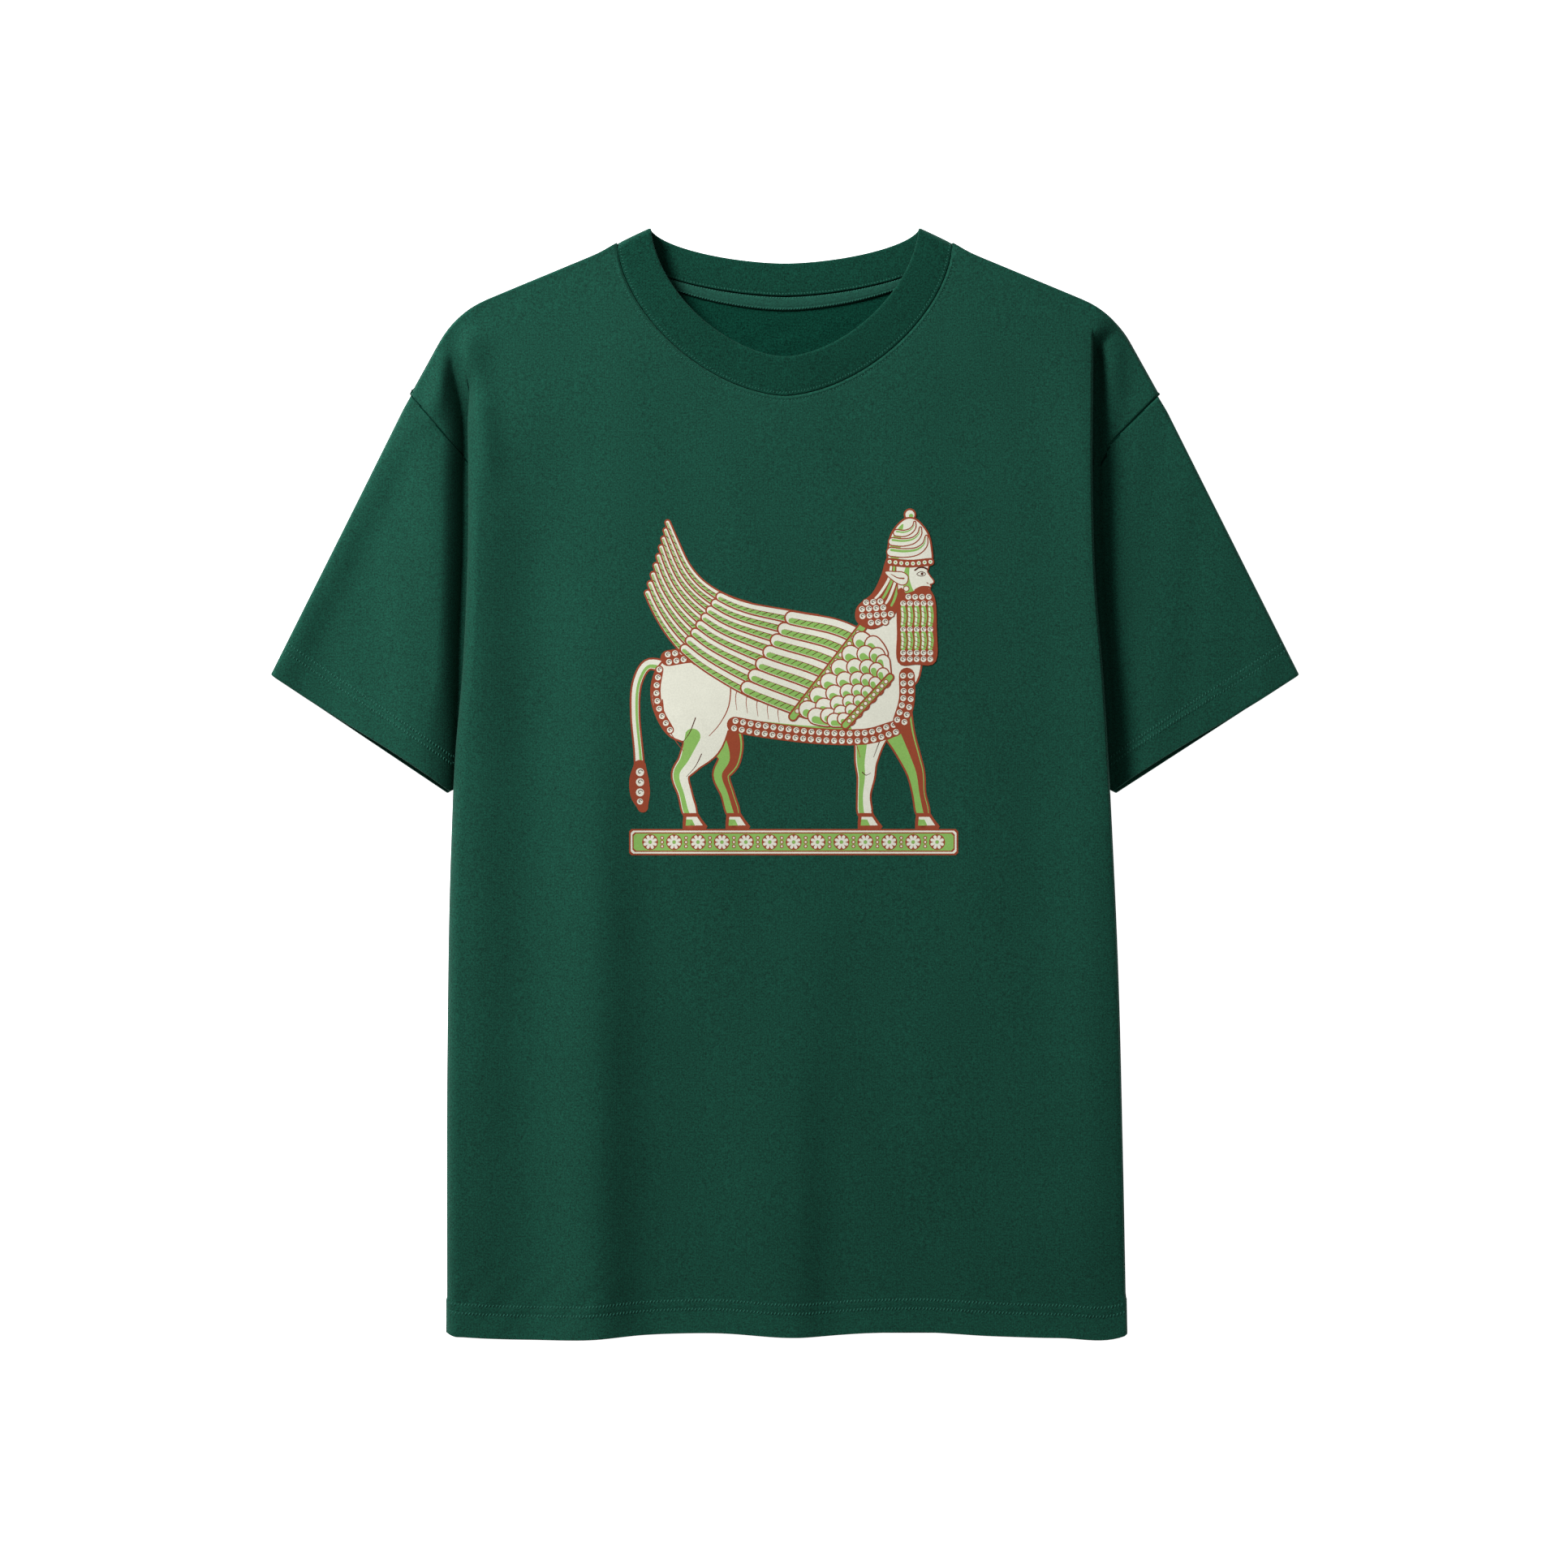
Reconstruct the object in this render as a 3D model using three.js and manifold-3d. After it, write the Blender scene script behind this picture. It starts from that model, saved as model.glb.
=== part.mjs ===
// A crew-neck T-shirt in heavy cotton jersey, laid flat on its back with the front uppermost.
// It is sewn from a front, a back, two sleeves, a doubled rib collar and a tape over the back neck seam.
// Front and back stand a little apart, so the shirt is hollow and open at the neck, the sleeves and the hem.
import * as THREE from "three";
import { mergeVertices } from "three/addons/utils/BufferGeometryUtils.js";
import Module from "manifold-3d";

const wasm = await Module();
wasm.setup();

// Driving sizes, in millimetres. Until the last lines x = 0 is the middle of the shirt and y = 0 the height
// of the two neck points, where the collar seam meets the shoulders. +Y runs towards the collar, +Z up.
const bodyLength = 739; // neck point to hem
const hemWidth = 460;
const chestWidth = 424; // between the folded sides, below the armpits
const chestBottom = 195; // below the neck points, where the sides start to widen
const hemFlareTop = 525; // below the neck points, where the full hem width is reached
const neckWidth = 227; // collar seam to collar seam
const frontNeckDrop = 103;
const backNeckDrop = 37;
const collarWidth = 25.5;
const collarLean = THREE.MathUtils.degToRad(26); // of the collar's fold line at the shoulder
const shoulderFall = THREE.MathUtils.degToRad(22.5);
const shoulderTurnOut = 11; // where the shoulder turns down, outside the folded side
const shoulderRadius = 67; // of that turn
const capWidth = 42; // from the folded side out to the top of the armhole seam
const capDrop = 101; // of that point, below the neck points
const armpitDrop = 147; // where the armhole seam goes under the folded side
const sleeveLength = 212;
const sleeveFall = THREE.MathUtils.degToRad(63.4); // of the sleeve's top edge
const sleeveInnerDrop = 372; // of the hem's inner corner
const hemDepth = 21; // of the turned-up hems
const tapeWidth = 9;

// Cloth and seams.
const cloth = 1; // jersey
const ribCloth = 2; // rib, doubled
const tapeCloth = 0.8;
const seamGap = 0.4; // between two sewn pieces
const layerGap = 0.3; // between one layer and what lies on it

// How high the shirt stands off the ground, and over what widths it rises.
const bodyLoft = 17;
const shoulderLoft = 8; // just inside the shoulder edge
const shoulderRise = 75; // from there to the full loft
const sleeveLoft = 13;
const sleeveRise = 30; // from the side of the body to the sleeve's full loft
const creaseLoft = 4.2; // of the sleeve, where it meets the side of the body
const creaseTop = 58; // below the neck points, where the fold beside the body begins
const creaseFade = 50; // over which it deepens
const capBlend = 60; // from the body down to the shoulder cap, above that fold
const sideRound = 8; // of the body's folded sides
const edgeRound = 6; // of the shoulder edges
const sleeveRound = 12; // of the sleeves' top edges
const neckPower = 1.7; // of the neckline's superellipse
const hemWave = 1.8;
const hemWavePitch = 150;

// Soft folds down the front: place and height of the crest, its width on either side, the distance below the
// neck points where it starts, and the length over which it grows to its full height.
const folds = [
  { crest: -130, height: 5, left: 48, right: 19, start: 400, grows: 260 },
  { crest: 8, height: 4.5, left: 50, right: 16, start: 540, grows: 180 },
  { crest: 184, height: 1.6, left: 55, right: 60, start: 540, grows: 180 },
  { crest: 196, height: 1.4, left: 24, right: 30, start: 60, grows: 120 },
  { crest: -183, height: -2.6, left: 24, right: 24, start: 120, grows: 120 },
];

const neckHalf = neckWidth / 2;
const shoulderTip = chestWidth / 2 + capWidth;

// Cloth is doubled below this line, and lies single above it.
const hemTop = -bodyLength + hemDepth;
const hemLayers = (y) => (y < hemTop ? 2 : 1);

// Top of the front where it comes down onto the back.
const edgeTop = (y) => 2 * hemLayers(y) * cloth + layerGap;

const clamp01 = (v) => Math.min(1, Math.max(0, v));
const ease = (v) => THREE.MathUtils.smoothstep(v, 0, 1);
const rounded = (v) => Math.sqrt(1 - (1 - clamp01(v)) ** 2);
const lerp = THREE.MathUtils.lerp;

// Evenly spaced values from a to b, both included.
function steps(a, b, count) {
  return Array.from({ length: count + 1 }, (_, i) => lerp(a, b, i / count));
}

// The shoulder edge: a slope, a round turn and a steeper line down to the armhole seam.
const cornerX = chestWidth / 2 + shoulderTurnOut;
const cornerDrop = Math.tan(shoulderFall) * (cornerX - neckHalf);
const capFall = Math.atan2(capDrop - cornerDrop, shoulderTip - cornerX);
const turnReach = shoulderRadius * Math.tan((capFall - shoulderFall) / 2);
const turnStart = cornerX - turnReach * Math.cos(shoulderFall);
const turnEnd = cornerX + turnReach * Math.cos(capFall);
const turnCentre = new THREE.Vector2(
  turnStart - shoulderRadius * Math.sin(shoulderFall),
  -cornerDrop + turnReach * Math.sin(shoulderFall) - shoulderRadius * Math.cos(shoulderFall),
);

function shoulderY(x) {
  const out = Math.abs(x);
  if (out <= neckHalf) return 0;
  if (out <= turnStart) return -Math.tan(shoulderFall) * (out - neckHalf);
  if (out <= turnEnd) return turnCentre.y + Math.sqrt(shoulderRadius ** 2 - (out - turnCentre.x) ** 2);
  return -capDrop - (out - shoulderTip) * Math.tan(capFall);
}

// Half the width of the body at a height, out to its folded side.
function bodyHalf(y) {
  return lerp(chestWidth, hemWidth, ease((-y - chestBottom) / (hemFlareTop - chestBottom))) / 2;
}

function hemY(x) {
  return -bodyLength - hemWave * Math.cos((2 * Math.PI * (x + hemWavePitch)) / hemWavePitch);
}

// A neckline from neck point to neck point. turn runs from 0 in the middle to a quarter turn at the shoulder.
function necklinePoint(turn, halfWidth, drop, top) {
  const across = Math.sin(turn);
  return new THREE.Vector2(
    halfWidth * Math.sign(across) * Math.abs(across) ** (2 / neckPower),
    top - drop * Math.abs(Math.cos(turn)) ** (2 / neckPower),
  );
}

// The outer corner of the sleeve's hem, on the right.
const cuffCorner = new THREE.Vector2(
  shoulderTip + sleeveLength * Math.cos(sleeveFall),
  -capDrop - sleeveLength * Math.sin(sleeveFall),
);

// The outer outline on the right: the shoulder edge, then the sleeve's top edge.
const outerEdge = [...steps(0, shoulderTip, 60).map((x) => new THREE.Vector2(x, shoulderY(x))), cuffCorner];

// How far a point lies inside that outline.
function edgeDistance(x, y) {
  const p = new THREE.Vector2(Math.abs(x), y);
  let best = Infinity;
  let inside = true;
  for (let i = 0; i + 1 < outerEdge.length; i++) {
    const along = outerEdge[i + 1].clone().sub(outerEdge[i]);
    const from = p.clone().sub(outerEdge[i]);
    const share = clamp01(from.dot(along) / along.lengthSq());
    const away = from.distanceTo(along.clone().multiplyScalar(share));
    if (away < best) {
      best = away;
      inside = along.cross(from) < 0;
    }
  }
  return inside ? best : -best;
}

// Height of the body's front, without its edges.
function bodyHeight(x, y) {
  return folds.reduce((height, fold) => {
    const away = x - fold.crest;
    const across = Math.exp(-((away / (away < 0 ? fold.left : fold.right)) ** 2));
    return height + fold.height * across * ease((-y - fold.start) / fold.grows);
  }, bodyLoft);
}

// The fold beside the body shows from a little below the shoulder down: 0 above its start and 1 below.
function creaseShare(y) {
  return ease((-y - creaseTop) / creaseFade);
}

// Height of a sleeve, and of the shoulder cap that it is sewn to.
function sleeveHeight(x, y) {
  const fromSide = Math.abs(x) - bodyHalf(y);
  const open = lerp(1, ease(fromSide / sleeveRise), creaseShare(y));
  const edge = 2 * cloth + layerGap;
  return lerp(edge, lerp(creaseLoft, sleeveLoft, open), rounded(edgeDistance(x, y) / sleeveRound));
}

// Height of the shirt's upper layer.
function topHeight(x, y) {
  const inset = edgeDistance(x, y);
  const shoulder = lerp(shoulderLoft, bodyHeight(x, y), ease(inset / shoulderRise));
  const body = lerp(edgeTop(y), shoulder, rounded(inset / edgeRound));
  const fromSide = bodyHalf(y) - Math.abs(x);
  const crease = creaseShare(y);
  const floor = y < -armpitDrop ? edgeTop(y) : sleeveHeight(x, y);
  const width = lerp(capBlend, sideRound, crease);
  const share = lerp(ease(fromSide / width + 0.5), rounded(fromSide / width), crease);
  return lerp(floor, body, share);
}

// A closed surface from rings of points: every ring has as many points, and both directions may close.
function solidFromRings(rings) {
  const around = rings[0].length;
  const positions = rings.flat().flatMap((p) => [p.x, p.y, p.z]);
  const faces = [];
  for (let r = 0; r < rings.length; r++) {
    const next = (r + 1) % rings.length;
    for (let i = 0; i < around; i++) {
      const j = (i + 1) % around;
      const [a, b, c, d] = [r * around + i, r * around + j, next * around + j, next * around + i];
      faces.push(a, b, c, a, c, d);
    }
  }
  return solid(positions, faces);
}

// A sheet of cloth: a grid of points on its upper face, thickened downwards along the surface's normal.
function solidFromSheet(rows, thicknessAt) {
  const high = rows.length;
  const wide = rows[0].length;
  const under = rows.map((row, r) =>
    row.map((p, i) => {
      const east = row[Math.min(i + 1, wide - 1)].clone().sub(row[Math.max(i - 1, 0)]);
      const north = rows[Math.min(r + 1, high - 1)][i].clone().sub(rows[Math.max(r - 1, 0)][i]);
      const normal = east.cross(north).normalize();
      return p.clone().addScaledVector(normal, -thicknessAt(p) * Math.sign(normal.z || 1));
    }),
  );
  const positions = [...rows.flat(), ...under.flat()].flatMap((p) => [p.x, p.y, p.z]);
  const faces = [];
  const low = high * wide;
  const at = (r, i) => r * wide + i;
  const quad = (a, b, c, d) => faces.push(a, b, c, a, c, d);
  for (let r = 0; r + 1 < high; r++)
    for (let i = 0; i + 1 < wide; i++) {
      quad(at(r, i), at(r, i + 1), at(r + 1, i + 1), at(r + 1, i));
      quad(low + at(r, i), low + at(r + 1, i), low + at(r + 1, i + 1), low + at(r, i + 1));
    }
  for (let i = 0; i + 1 < wide; i++) {
    quad(at(0, i), low + at(0, i), low + at(0, i + 1), at(0, i + 1));
    quad(at(high - 1, i), at(high - 1, i + 1), low + at(high - 1, i + 1), low + at(high - 1, i));
  }
  for (let r = 0; r + 1 < high; r++) {
    quad(at(r, 0), at(r + 1, 0), low + at(r + 1, 0), low + at(r, 0));
    quad(at(r, wide - 1), low + at(r, wide - 1), low + at(r + 1, wide - 1), at(r + 1, wide - 1));
  }
  return solid(positions, faces);
}

function solid(positions, faces) {
  const made = new wasm.Manifold(
    new wasm.Mesh({
      numProp: 3,
      vertProperties: new Float32Array(positions),
      triVerts: new Uint32Array(faces),
    }),
  );
  if (made.volume() > 0) return made;
  const turned = [];
  for (let i = 0; i < faces.length; i += 3) turned.push(faces[i], faces[i + 2], faces[i + 1]);
  return solid(positions, turned);
}

// A flat outline, extruded upwards.
function solidFromOutline(points, bottom, height) {
  const geometry = new THREE.ExtrudeGeometry(new THREE.Shape(points), {
    depth: height,
    bevelEnabled: false,
  });
  geometry.translate(0, 0, bottom);
  geometry.deleteAttribute("normal");
  geometry.deleteAttribute("uv");
  const merged = mergeVertices(geometry, 1e-4);
  return solid(Array.from(merged.attributes.position.array), Array.from(merged.index.array));
}

function meshFrom(made, name, material) {
  const { numProp, vertProperties, triVerts } = made.getMesh();
  const positions = new Float32Array((vertProperties.length / numProp) * 3);
  for (let i = 0; i < positions.length / 3; i++)
    positions.set(vertProperties.subarray(i * numProp, i * numProp + 3), i * 3);
  const geometry = new THREE.BufferGeometry()
    .setAttribute("position", new THREE.BufferAttribute(positions, 3))
    .setIndex(new THREE.BufferAttribute(triVerts, 1));
  geometry.computeVertexNormals();
  const mesh = new THREE.Mesh(geometry, material);
  mesh.name = name;
  return mesh;
}

// The outline of a body panel, with its own neckline and hem line.
function panelOutline(neckDrop, hemLine) {
  const right = [
    ...steps(0, Math.PI / 2, 24).map((turn) => necklinePoint(turn, neckHalf, neckDrop, 0)),
    ...steps(neckHalf, shoulderTip, 24).slice(1).map((x) => new THREE.Vector2(x, shoulderY(x))),
    new THREE.Vector2(bodyHalf(-armpitDrop), -armpitDrop),
    ...steps(-armpitDrop, hemTop, 20).slice(1).map((y) => new THREE.Vector2(bodyHalf(y), y)),
  ];
  const left = right.slice(1).reverse().map((p) => new THREE.Vector2(-p.x, p.y));
  const hem = steps(hemWidth / 2, -hemWidth / 2, 40).map((x) => new THREE.Vector2(x, hemLine(x)));
  return [...right, ...hem, ...left];
}

const jersey = new THREE.MeshStandardMaterial({ color: 0x1b4a3b, roughness: 0.9, metalness: 0 });
const rib = new THREE.MeshStandardMaterial({ color: 0x194538, roughness: 0.92, metalness: 0 });
const tape = new THREE.MeshStandardMaterial({ color: 0x215443, roughness: 0.88, metalness: 0 });

// The front: a lofted sheet, doubled at the hem, cut to the panel's outline. Its rows follow the shoulder
// line at the top and flatten out towards the hem. They and the columns are close together where it bends.
function makeFront() {
  const spare = 6; // of the sheet, outside the outline
  const edgeRows = [-1, 0, 0.14, 0.4, 1].map((share) => share * edgeRound);
  const shoulderRows = [14, 28, 44, creaseTop, 78, creaseTop + creaseFade, 124, armpitDrop];
  const bodyRows = steps(armpitDrop + 33, bodyLength - hemDepth - 1, 12);
  const hemRows = [bodyLength - hemDepth + 1, bodyLength - hemDepth / 2, bodyLength, bodyLength + spare];
  const sideColumns = [0.06, 0.16, 0.32, 0.56, 1, 1.8].map((share) => share * sideRound);
  const capColumns = [0.04, 0.12, 0.25, 0.4, 0.58, 0.78, 1];
  const innerColumns = steps(-1, 1, 24);
  const rows = [...edgeRows, ...shoulderRows, ...bodyRows, ...hemRows].map((drop) => {
    const half = bodyHalf(-drop);
    const right = [
      ...sideColumns.toReversed().map((inset) => half - inset),
      half,
      ...capColumns.map((share) => lerp(half, shoulderTip + spare, share)),
    ];
    const inner = innerColumns.map((share) => share * (right[0] - spare));
    const across = [...right.toReversed().map((x) => -x), ...inner, ...right];
    return across.map((x) => {
      const y = -drop + shoulderY(x) * (1 - clamp01(drop / bodyLength));
      return new THREE.Vector3(x, y, topHeight(x, y));
    });
  });
  const sheet = solidFromSheet(rows, (p) => hemLayers(p.y) * cloth);
  const highest = Math.max(...rows.flat().map((p) => p.z));
  return sheet.intersect(solidFromOutline(panelOutline(frontNeckDrop, hemY), 0, highest + cloth));
}

// The back lies flat on the ground, doubled at the hem.
function makeBack() {
  const hemLine = () => -bodyLength + hemWave;
  const half = hemWidth / 2;
  const corners = [
    [-half, hemLine()],
    [half, hemLine()],
    [half, hemTop],
    [-half, hemTop],
  ];
  const hem = corners.map(([x, y]) => new THREE.Vector2(x, y));
  return solidFromOutline(panelOutline(backNeckDrop, hemLine), 0, cloth).add(
    solidFromOutline(hem, 0, 2 * cloth),
  );
}

// A sleeve: a flattened tube from the armhole seam to its own doubled hem.
function makeSleeve(side) {
  const hemStart = 1 - hemDepth / sleeveLength;
  const nearHem = 1 / sleeveLength;
  const alongShares = [0, 0.07, ...steps(0.18, hemStart - nearHem, 5), hemStart + nearHem, 1];
  const acrossShares = [0, 0.01, 0.03, 0.08, 0.2, 0.4, 0.6, 0.78, 0.92, 1];
  const sections = alongShares.map((share) => {
    const fromSeam = lerp(seamGap / sleeveLength, 1, share);
    const outer = new THREE.Vector2(shoulderTip, -capDrop).lerp(cuffCorner, fromSeam);
    const innerY = -lerp(armpitDrop + seamGap, sleeveInnerDrop, share);
    const inner = new THREE.Vector2(bodyHalf(innerY) + 2 * seamGap, innerY);
    const thick = (share > hemStart ? 2 : 1) * cloth;
    const wall = (1.3 * thick) / outer.distanceTo(inner); // a little over the cloth, where it folds
    const ring = (topDepth, bottom, inset) => {
      const points = acrossShares.map((s) => outer.clone().lerp(inner, lerp(inset, 1 - inset, s)));
      const top = points.map((p) => new THREE.Vector3(side * p.x, p.y, sleeveHeight(p.x, p.y) - topDepth));
      return [...top, ...top.toReversed().map((p) => p.clone().setZ(bottom))];
    };
    return { outside: ring(0, 0, 0), inside: ring(thick, thick, wall) };
  });
  return solidFromRings([
    ...sections.map((section) => section.outside),
    ...sections.toReversed().map((section) => section.inside),
  ]);
}

// The collar: a band that runs round the neck, over its front at the height of the shirt's front and along
// the ground at the back, and folds over at each shoulder.
function makeCollar() {
  const quarter = [0.14, 0.28, 0.42, 0.55, 0.67, 0.77, 0.85, 0.91, 0.95, 0.98];
  const half = [...quarter, 1, ...quarter.toReversed().map((share) => 2 - share)];
  const turns = [0, ...half, 2, ...half.map((share) => 2 + share)].map((share) => (share * Math.PI) / 2);
  const peakIn = collarWidth * Math.cos(collarLean);
  const peakUp = collarWidth * Math.sin(collarLean);
  const seamY = -edgeRound; // no nearer to the shoulder edge, where the height is read
  const foldOver = 0.16; // share of the turn in which the band goes from front to back
  const rimLift = 1.5; // of the front's inner rim
  const edges = turns.map((turn) => {
    const front = Math.cos(turn);
    const seamDrop = (front > 0 ? frontNeckDrop : backNeckDrop) - seamGap;
    const seam = necklinePoint(turn, neckHalf - seamGap, seamDrop, 0);
    const rim = necklinePoint(turn, neckHalf - peakIn, seamDrop - collarWidth + peakUp, peakUp);
    const high = topHeight(seam.x, Math.min(seam.y, seamY)) - ribCloth / 2;
    const z = lerp(ribCloth / 2, high, ease(0.5 + front / foldOver));
    return [
      new THREE.Vector3(seam.x, seam.y, z),
      new THREE.Vector3(rim.x, rim.y, z + rimLift * ease(front)),
    ];
  });
  const across = 3;
  const middle = edges.map(([seam, rim]) => steps(0, 1, across).map((s) => seam.clone().lerp(rim, s)));
  const rings = middle.map((line, r) => {
    const before = middle[(r + middle.length - 1) % middle.length];
    const after = middle[(r + 1) % middle.length];
    const width = line[across].clone().sub(line[0]);
    const normals = line.map((p, i) =>
      after[i].clone().sub(before[i]).cross(width).normalize().multiplyScalar(ribCloth / 2),
    );
    const upper = line.map((p, i) => p.clone().add(normals[i]));
    const lower = line.map((p, i) => p.clone().sub(normals[i]));
    return [...upper, ...lower.toReversed()];
  });
  return solidFromRings(rings);
}

// The tape on the inside of the back, along the collar seam.
function makeTape() {
  const bottom = cloth + layerGap;
  const turns = steps(-Math.PI / 2, Math.PI / 2, 24).slice(1, -1);
  const upper = turns.map((turn) => necklinePoint(turn, neckHalf, backNeckDrop + 2 * seamGap, 0));
  const lower = turns.map((turn) => necklinePoint(turn, neckHalf, backNeckDrop + tapeWidth, 0));
  return solidFromOutline([...upper, ...lower.toReversed()], bottom, tapeCloth);
}

const shirt = new THREE.Group();
shirt.add(
  meshFrom(makeFront(), "front", jersey),
  meshFrom(makeBack(), "back", jersey),
  meshFrom(makeSleeve(-1), "sleeve_left", jersey),
  meshFrom(makeSleeve(1), "sleeve_right", jersey),
  meshFrom(makeCollar(), "collar", rib),
  meshFrom(makeTape(), "neck_tape", tape),
);

// The finished part stands on z = 0, with its origin under the middle of its box.
const box = new THREE.Box3().setFromObject(shirt);
const centre = box.getCenter(new THREE.Vector3());
shirt.position.set(-centre.x, -centre.y, -box.min.z);

export default shirt;
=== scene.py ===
import math

import bpy
import numpy as np
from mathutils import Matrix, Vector
from mathutils.geometry import delaunay_2d_cdt


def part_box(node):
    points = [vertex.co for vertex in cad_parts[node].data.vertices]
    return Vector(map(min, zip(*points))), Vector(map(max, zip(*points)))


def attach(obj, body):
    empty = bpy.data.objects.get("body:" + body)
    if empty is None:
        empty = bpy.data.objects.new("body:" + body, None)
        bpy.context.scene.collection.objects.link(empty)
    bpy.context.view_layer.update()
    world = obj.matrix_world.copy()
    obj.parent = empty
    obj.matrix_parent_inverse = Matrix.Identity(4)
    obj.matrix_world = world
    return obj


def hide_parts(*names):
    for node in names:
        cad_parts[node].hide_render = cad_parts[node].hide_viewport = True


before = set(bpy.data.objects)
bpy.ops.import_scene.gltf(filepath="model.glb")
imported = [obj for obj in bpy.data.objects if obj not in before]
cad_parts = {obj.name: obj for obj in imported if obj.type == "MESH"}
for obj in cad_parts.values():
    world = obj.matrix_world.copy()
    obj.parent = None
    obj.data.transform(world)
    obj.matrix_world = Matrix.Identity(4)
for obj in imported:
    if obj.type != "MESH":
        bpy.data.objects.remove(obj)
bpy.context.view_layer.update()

# The shirt's plan, as the frame has it.
BODY_LENGTH = 739
NECK_HALF = 113.5
FRONT_DROP = 103
BACK_DROP = 37
BACK_SEAM = 34.3
NECK_CORNER = 2.0
NECK_POWER = 1.7
COLLAR_WIDTH = 25.5
BACK_NARROWER = 4.1
COLLAR_LEAN = math.radians(26)
SHOULDER_FALL = math.radians(22.5)
CORNER_X = 223
SHOULDER_RADIUS = 67
TIP_X = 254
TIP_DROP = 101
ARMPIT_DROP = 147
SLEEVE_LENGTH = 212
SLEEVE_FALL = math.radians(63.4)
CUFF_INNER_DROP = 372
HEM_DEPTH = 22.5
HEM_WAVE = 1.8
TAPE_WIDTH = 9.2

# Thickness of the cloths, and the gaps between them.
CLOTH = 1.0
RIB = 2.0
TAPE = 1.45
SEAM_GAP = 0.35
LAYER_GAP = 0.08

# How the shirt stands off the ground.
BODY_LOFT = 16.5
SHOULDER_LOFT = 15.5
SHOULDER_RISE = 80
CREASE_LOFT = 3.0
EDGE_HEIGHT = 3.0
EDGE_ROUND = 1.3
EDGE_SLACK = 0.06
SLEEVE_ROUND = 2.8
LEFT_ROUND = 8.5
RIGHT_ROUND = 2.5

# The folded sides form below a soft valley. A pair says from which drop on something grows and over what
# length. A span of four adds where it ends and over what length it fades.
LEFT_CREASE = (85, 38)
RIGHT_CREASE = (56, 22)
LEFT_VALLEY = (58, 70)
RIGHT_VALLEY = (46, 26)
VALLEY_DRIFT = 10.5
DRIFT_SPAN = (65, 85)

# How far the right armhole seam dips below a straight line, and over which shares of its length. The body's
# caps stop a small gap short of both armhole seams.
ARMHOLE_BEND = 7.5
ARMHOLE_BEND_SPAN = (0.68, 0.28, 0.95, 0.05)
ARMHOLE_GAP = 0.3

# A ridge on the body beside the left valley: its height, how far in its crest lies, its width on either side
# of that, and its span.
LEFT_RIDGE = 4.8
RIDGE_INSET = 12.5
RIDGE_WIDTHS = (5.5, 11)
RIDGE_SPAN = (50, 20, 125, 50)

# How the body runs on into the sleeves above the folds and in the valley: the width of the blend and where it
# starts, on the left and on the right.
OPEN_BLEND = (60, 26)
OPEN_START = (0.5, 1.0)
VALLEY_BLEND = (14, 4)
VALLEY_START = (0.0, 1.0)

# The sleeves: the left one rolls up out of the valley to a crest, and the right one stays low. A roll has one
# width above its span and another below it, and CUFF_ROLL widens the left one further near the cuff.
LEFT_FOOT = 4.5
LEFT_FOOT_SPAN = (100, 60, 260, 95)
RIGHT_FOOT = 5.0
RIGHT_FOOT_SPAN = (54, 30)
LEFT_ROLL = (7, 14)
LEFT_ROLL_SPAN = (75, 45)
CUFF_ROLL = 9
CUFF_ROLL_SPAN = (280, 70)
RIGHT_ROLL = (8, 14)
RIGHT_ROLL_SPAN = (100, 120)
CLIMB_POWERS = (1.5, 1.15)
CAP_RIDGE = 2.6
CAP_RIDGE_SPAN = (64, 15, 106, 26)
CREST_LOFT = 16.5
LEFT_LOFT = 5.5
CREST_WIDTH = 40
RIGHT_LOFT = 12.5
RIGHT_LOW = 5.0
RIGHT_LOW_SPAN = (34, 70)
RIGHT_CLIMB = 0.045
FOLD_BULGE = 3.0
FOLD_BULGE_SPAN = (90, 60)

# How the body's sides fold under.
SIDE_MIDDLE = 7.2
SIDE_FOOT = 5.2
SIDE_UNDER = 3.4
HEM_STEP = 0.6

# Topstitching: distances from the hem edges and from the collar seam.
HEM_ROWS = (15.6, 21.6)
CUFF_ROWS = (18.7, 24.0)
CUFF_DEPTH = 25
COLLAR_ROW_IN = 2.1
BACK_ROW_IN = 1.3
COLLAR_ROW_OUT = 3.0

# How deep and how wide an armhole seam dents the cloth beside it.
SEAM_DENT = 1.2
SEAM_DENT_WIDTH = 0.8

# A face whose normal rises less than this stands upright.
STEEP = 0.3

# The folded sides: how far out they lie at some drops below the neck points.
LEFT_SIDE = [(40, 216.3), (220, 215.3), (290, 218.6), (345, 223.4), (412, 226.4), (550, 228.8), (739, 229)]
RIGHT_SIDE = [
    (40, 209.5), (94, 209), (150, 208.5), (216, 210), (303, 216.5), (412, 222.5), (494, 226), (604, 228.8),
    (739, 231.5),
]

# How far down the front's hem hangs at some places across.
HEM_LINE = [
    (-229, 736.6), (-225.5, 738.0), (-215, 739), (-195, 740.2), (-140, 740), (-95, 737), (-45, 735.8),
    (5, 738.6), (60, 735.8), (90, 735.4), (140, 738), (185, 739.2), (228, 738.4), (232, 737.0),
]

# Soft folds: place, height, width to the left and right, where they start, how long they grow, where they
# end and how long they fade, the last four as distances below the neck points.
FOLDS = [
    (-129, 11.3, 38, 25, 200, 344, 900, 1),
    (7, 5.4, 52, 18, 440, 260, 900, 1),
    (213, 5.2, 27, 30, 60, 80, 640, 160),
    (-206, 3.4, 14, 26, 110, 90, 420, 260),
    (-169, -5.0, 30, 34, 110, 110, 900, 1),
    (-60, 0.9, 40, 60, 130, 220, 900, 1),
    (96, -0.8, 50, 50, 260, 200, 900, 1),
    (120, 1.2, 40, 34, 610, 120, 900, 1),
]

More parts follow.
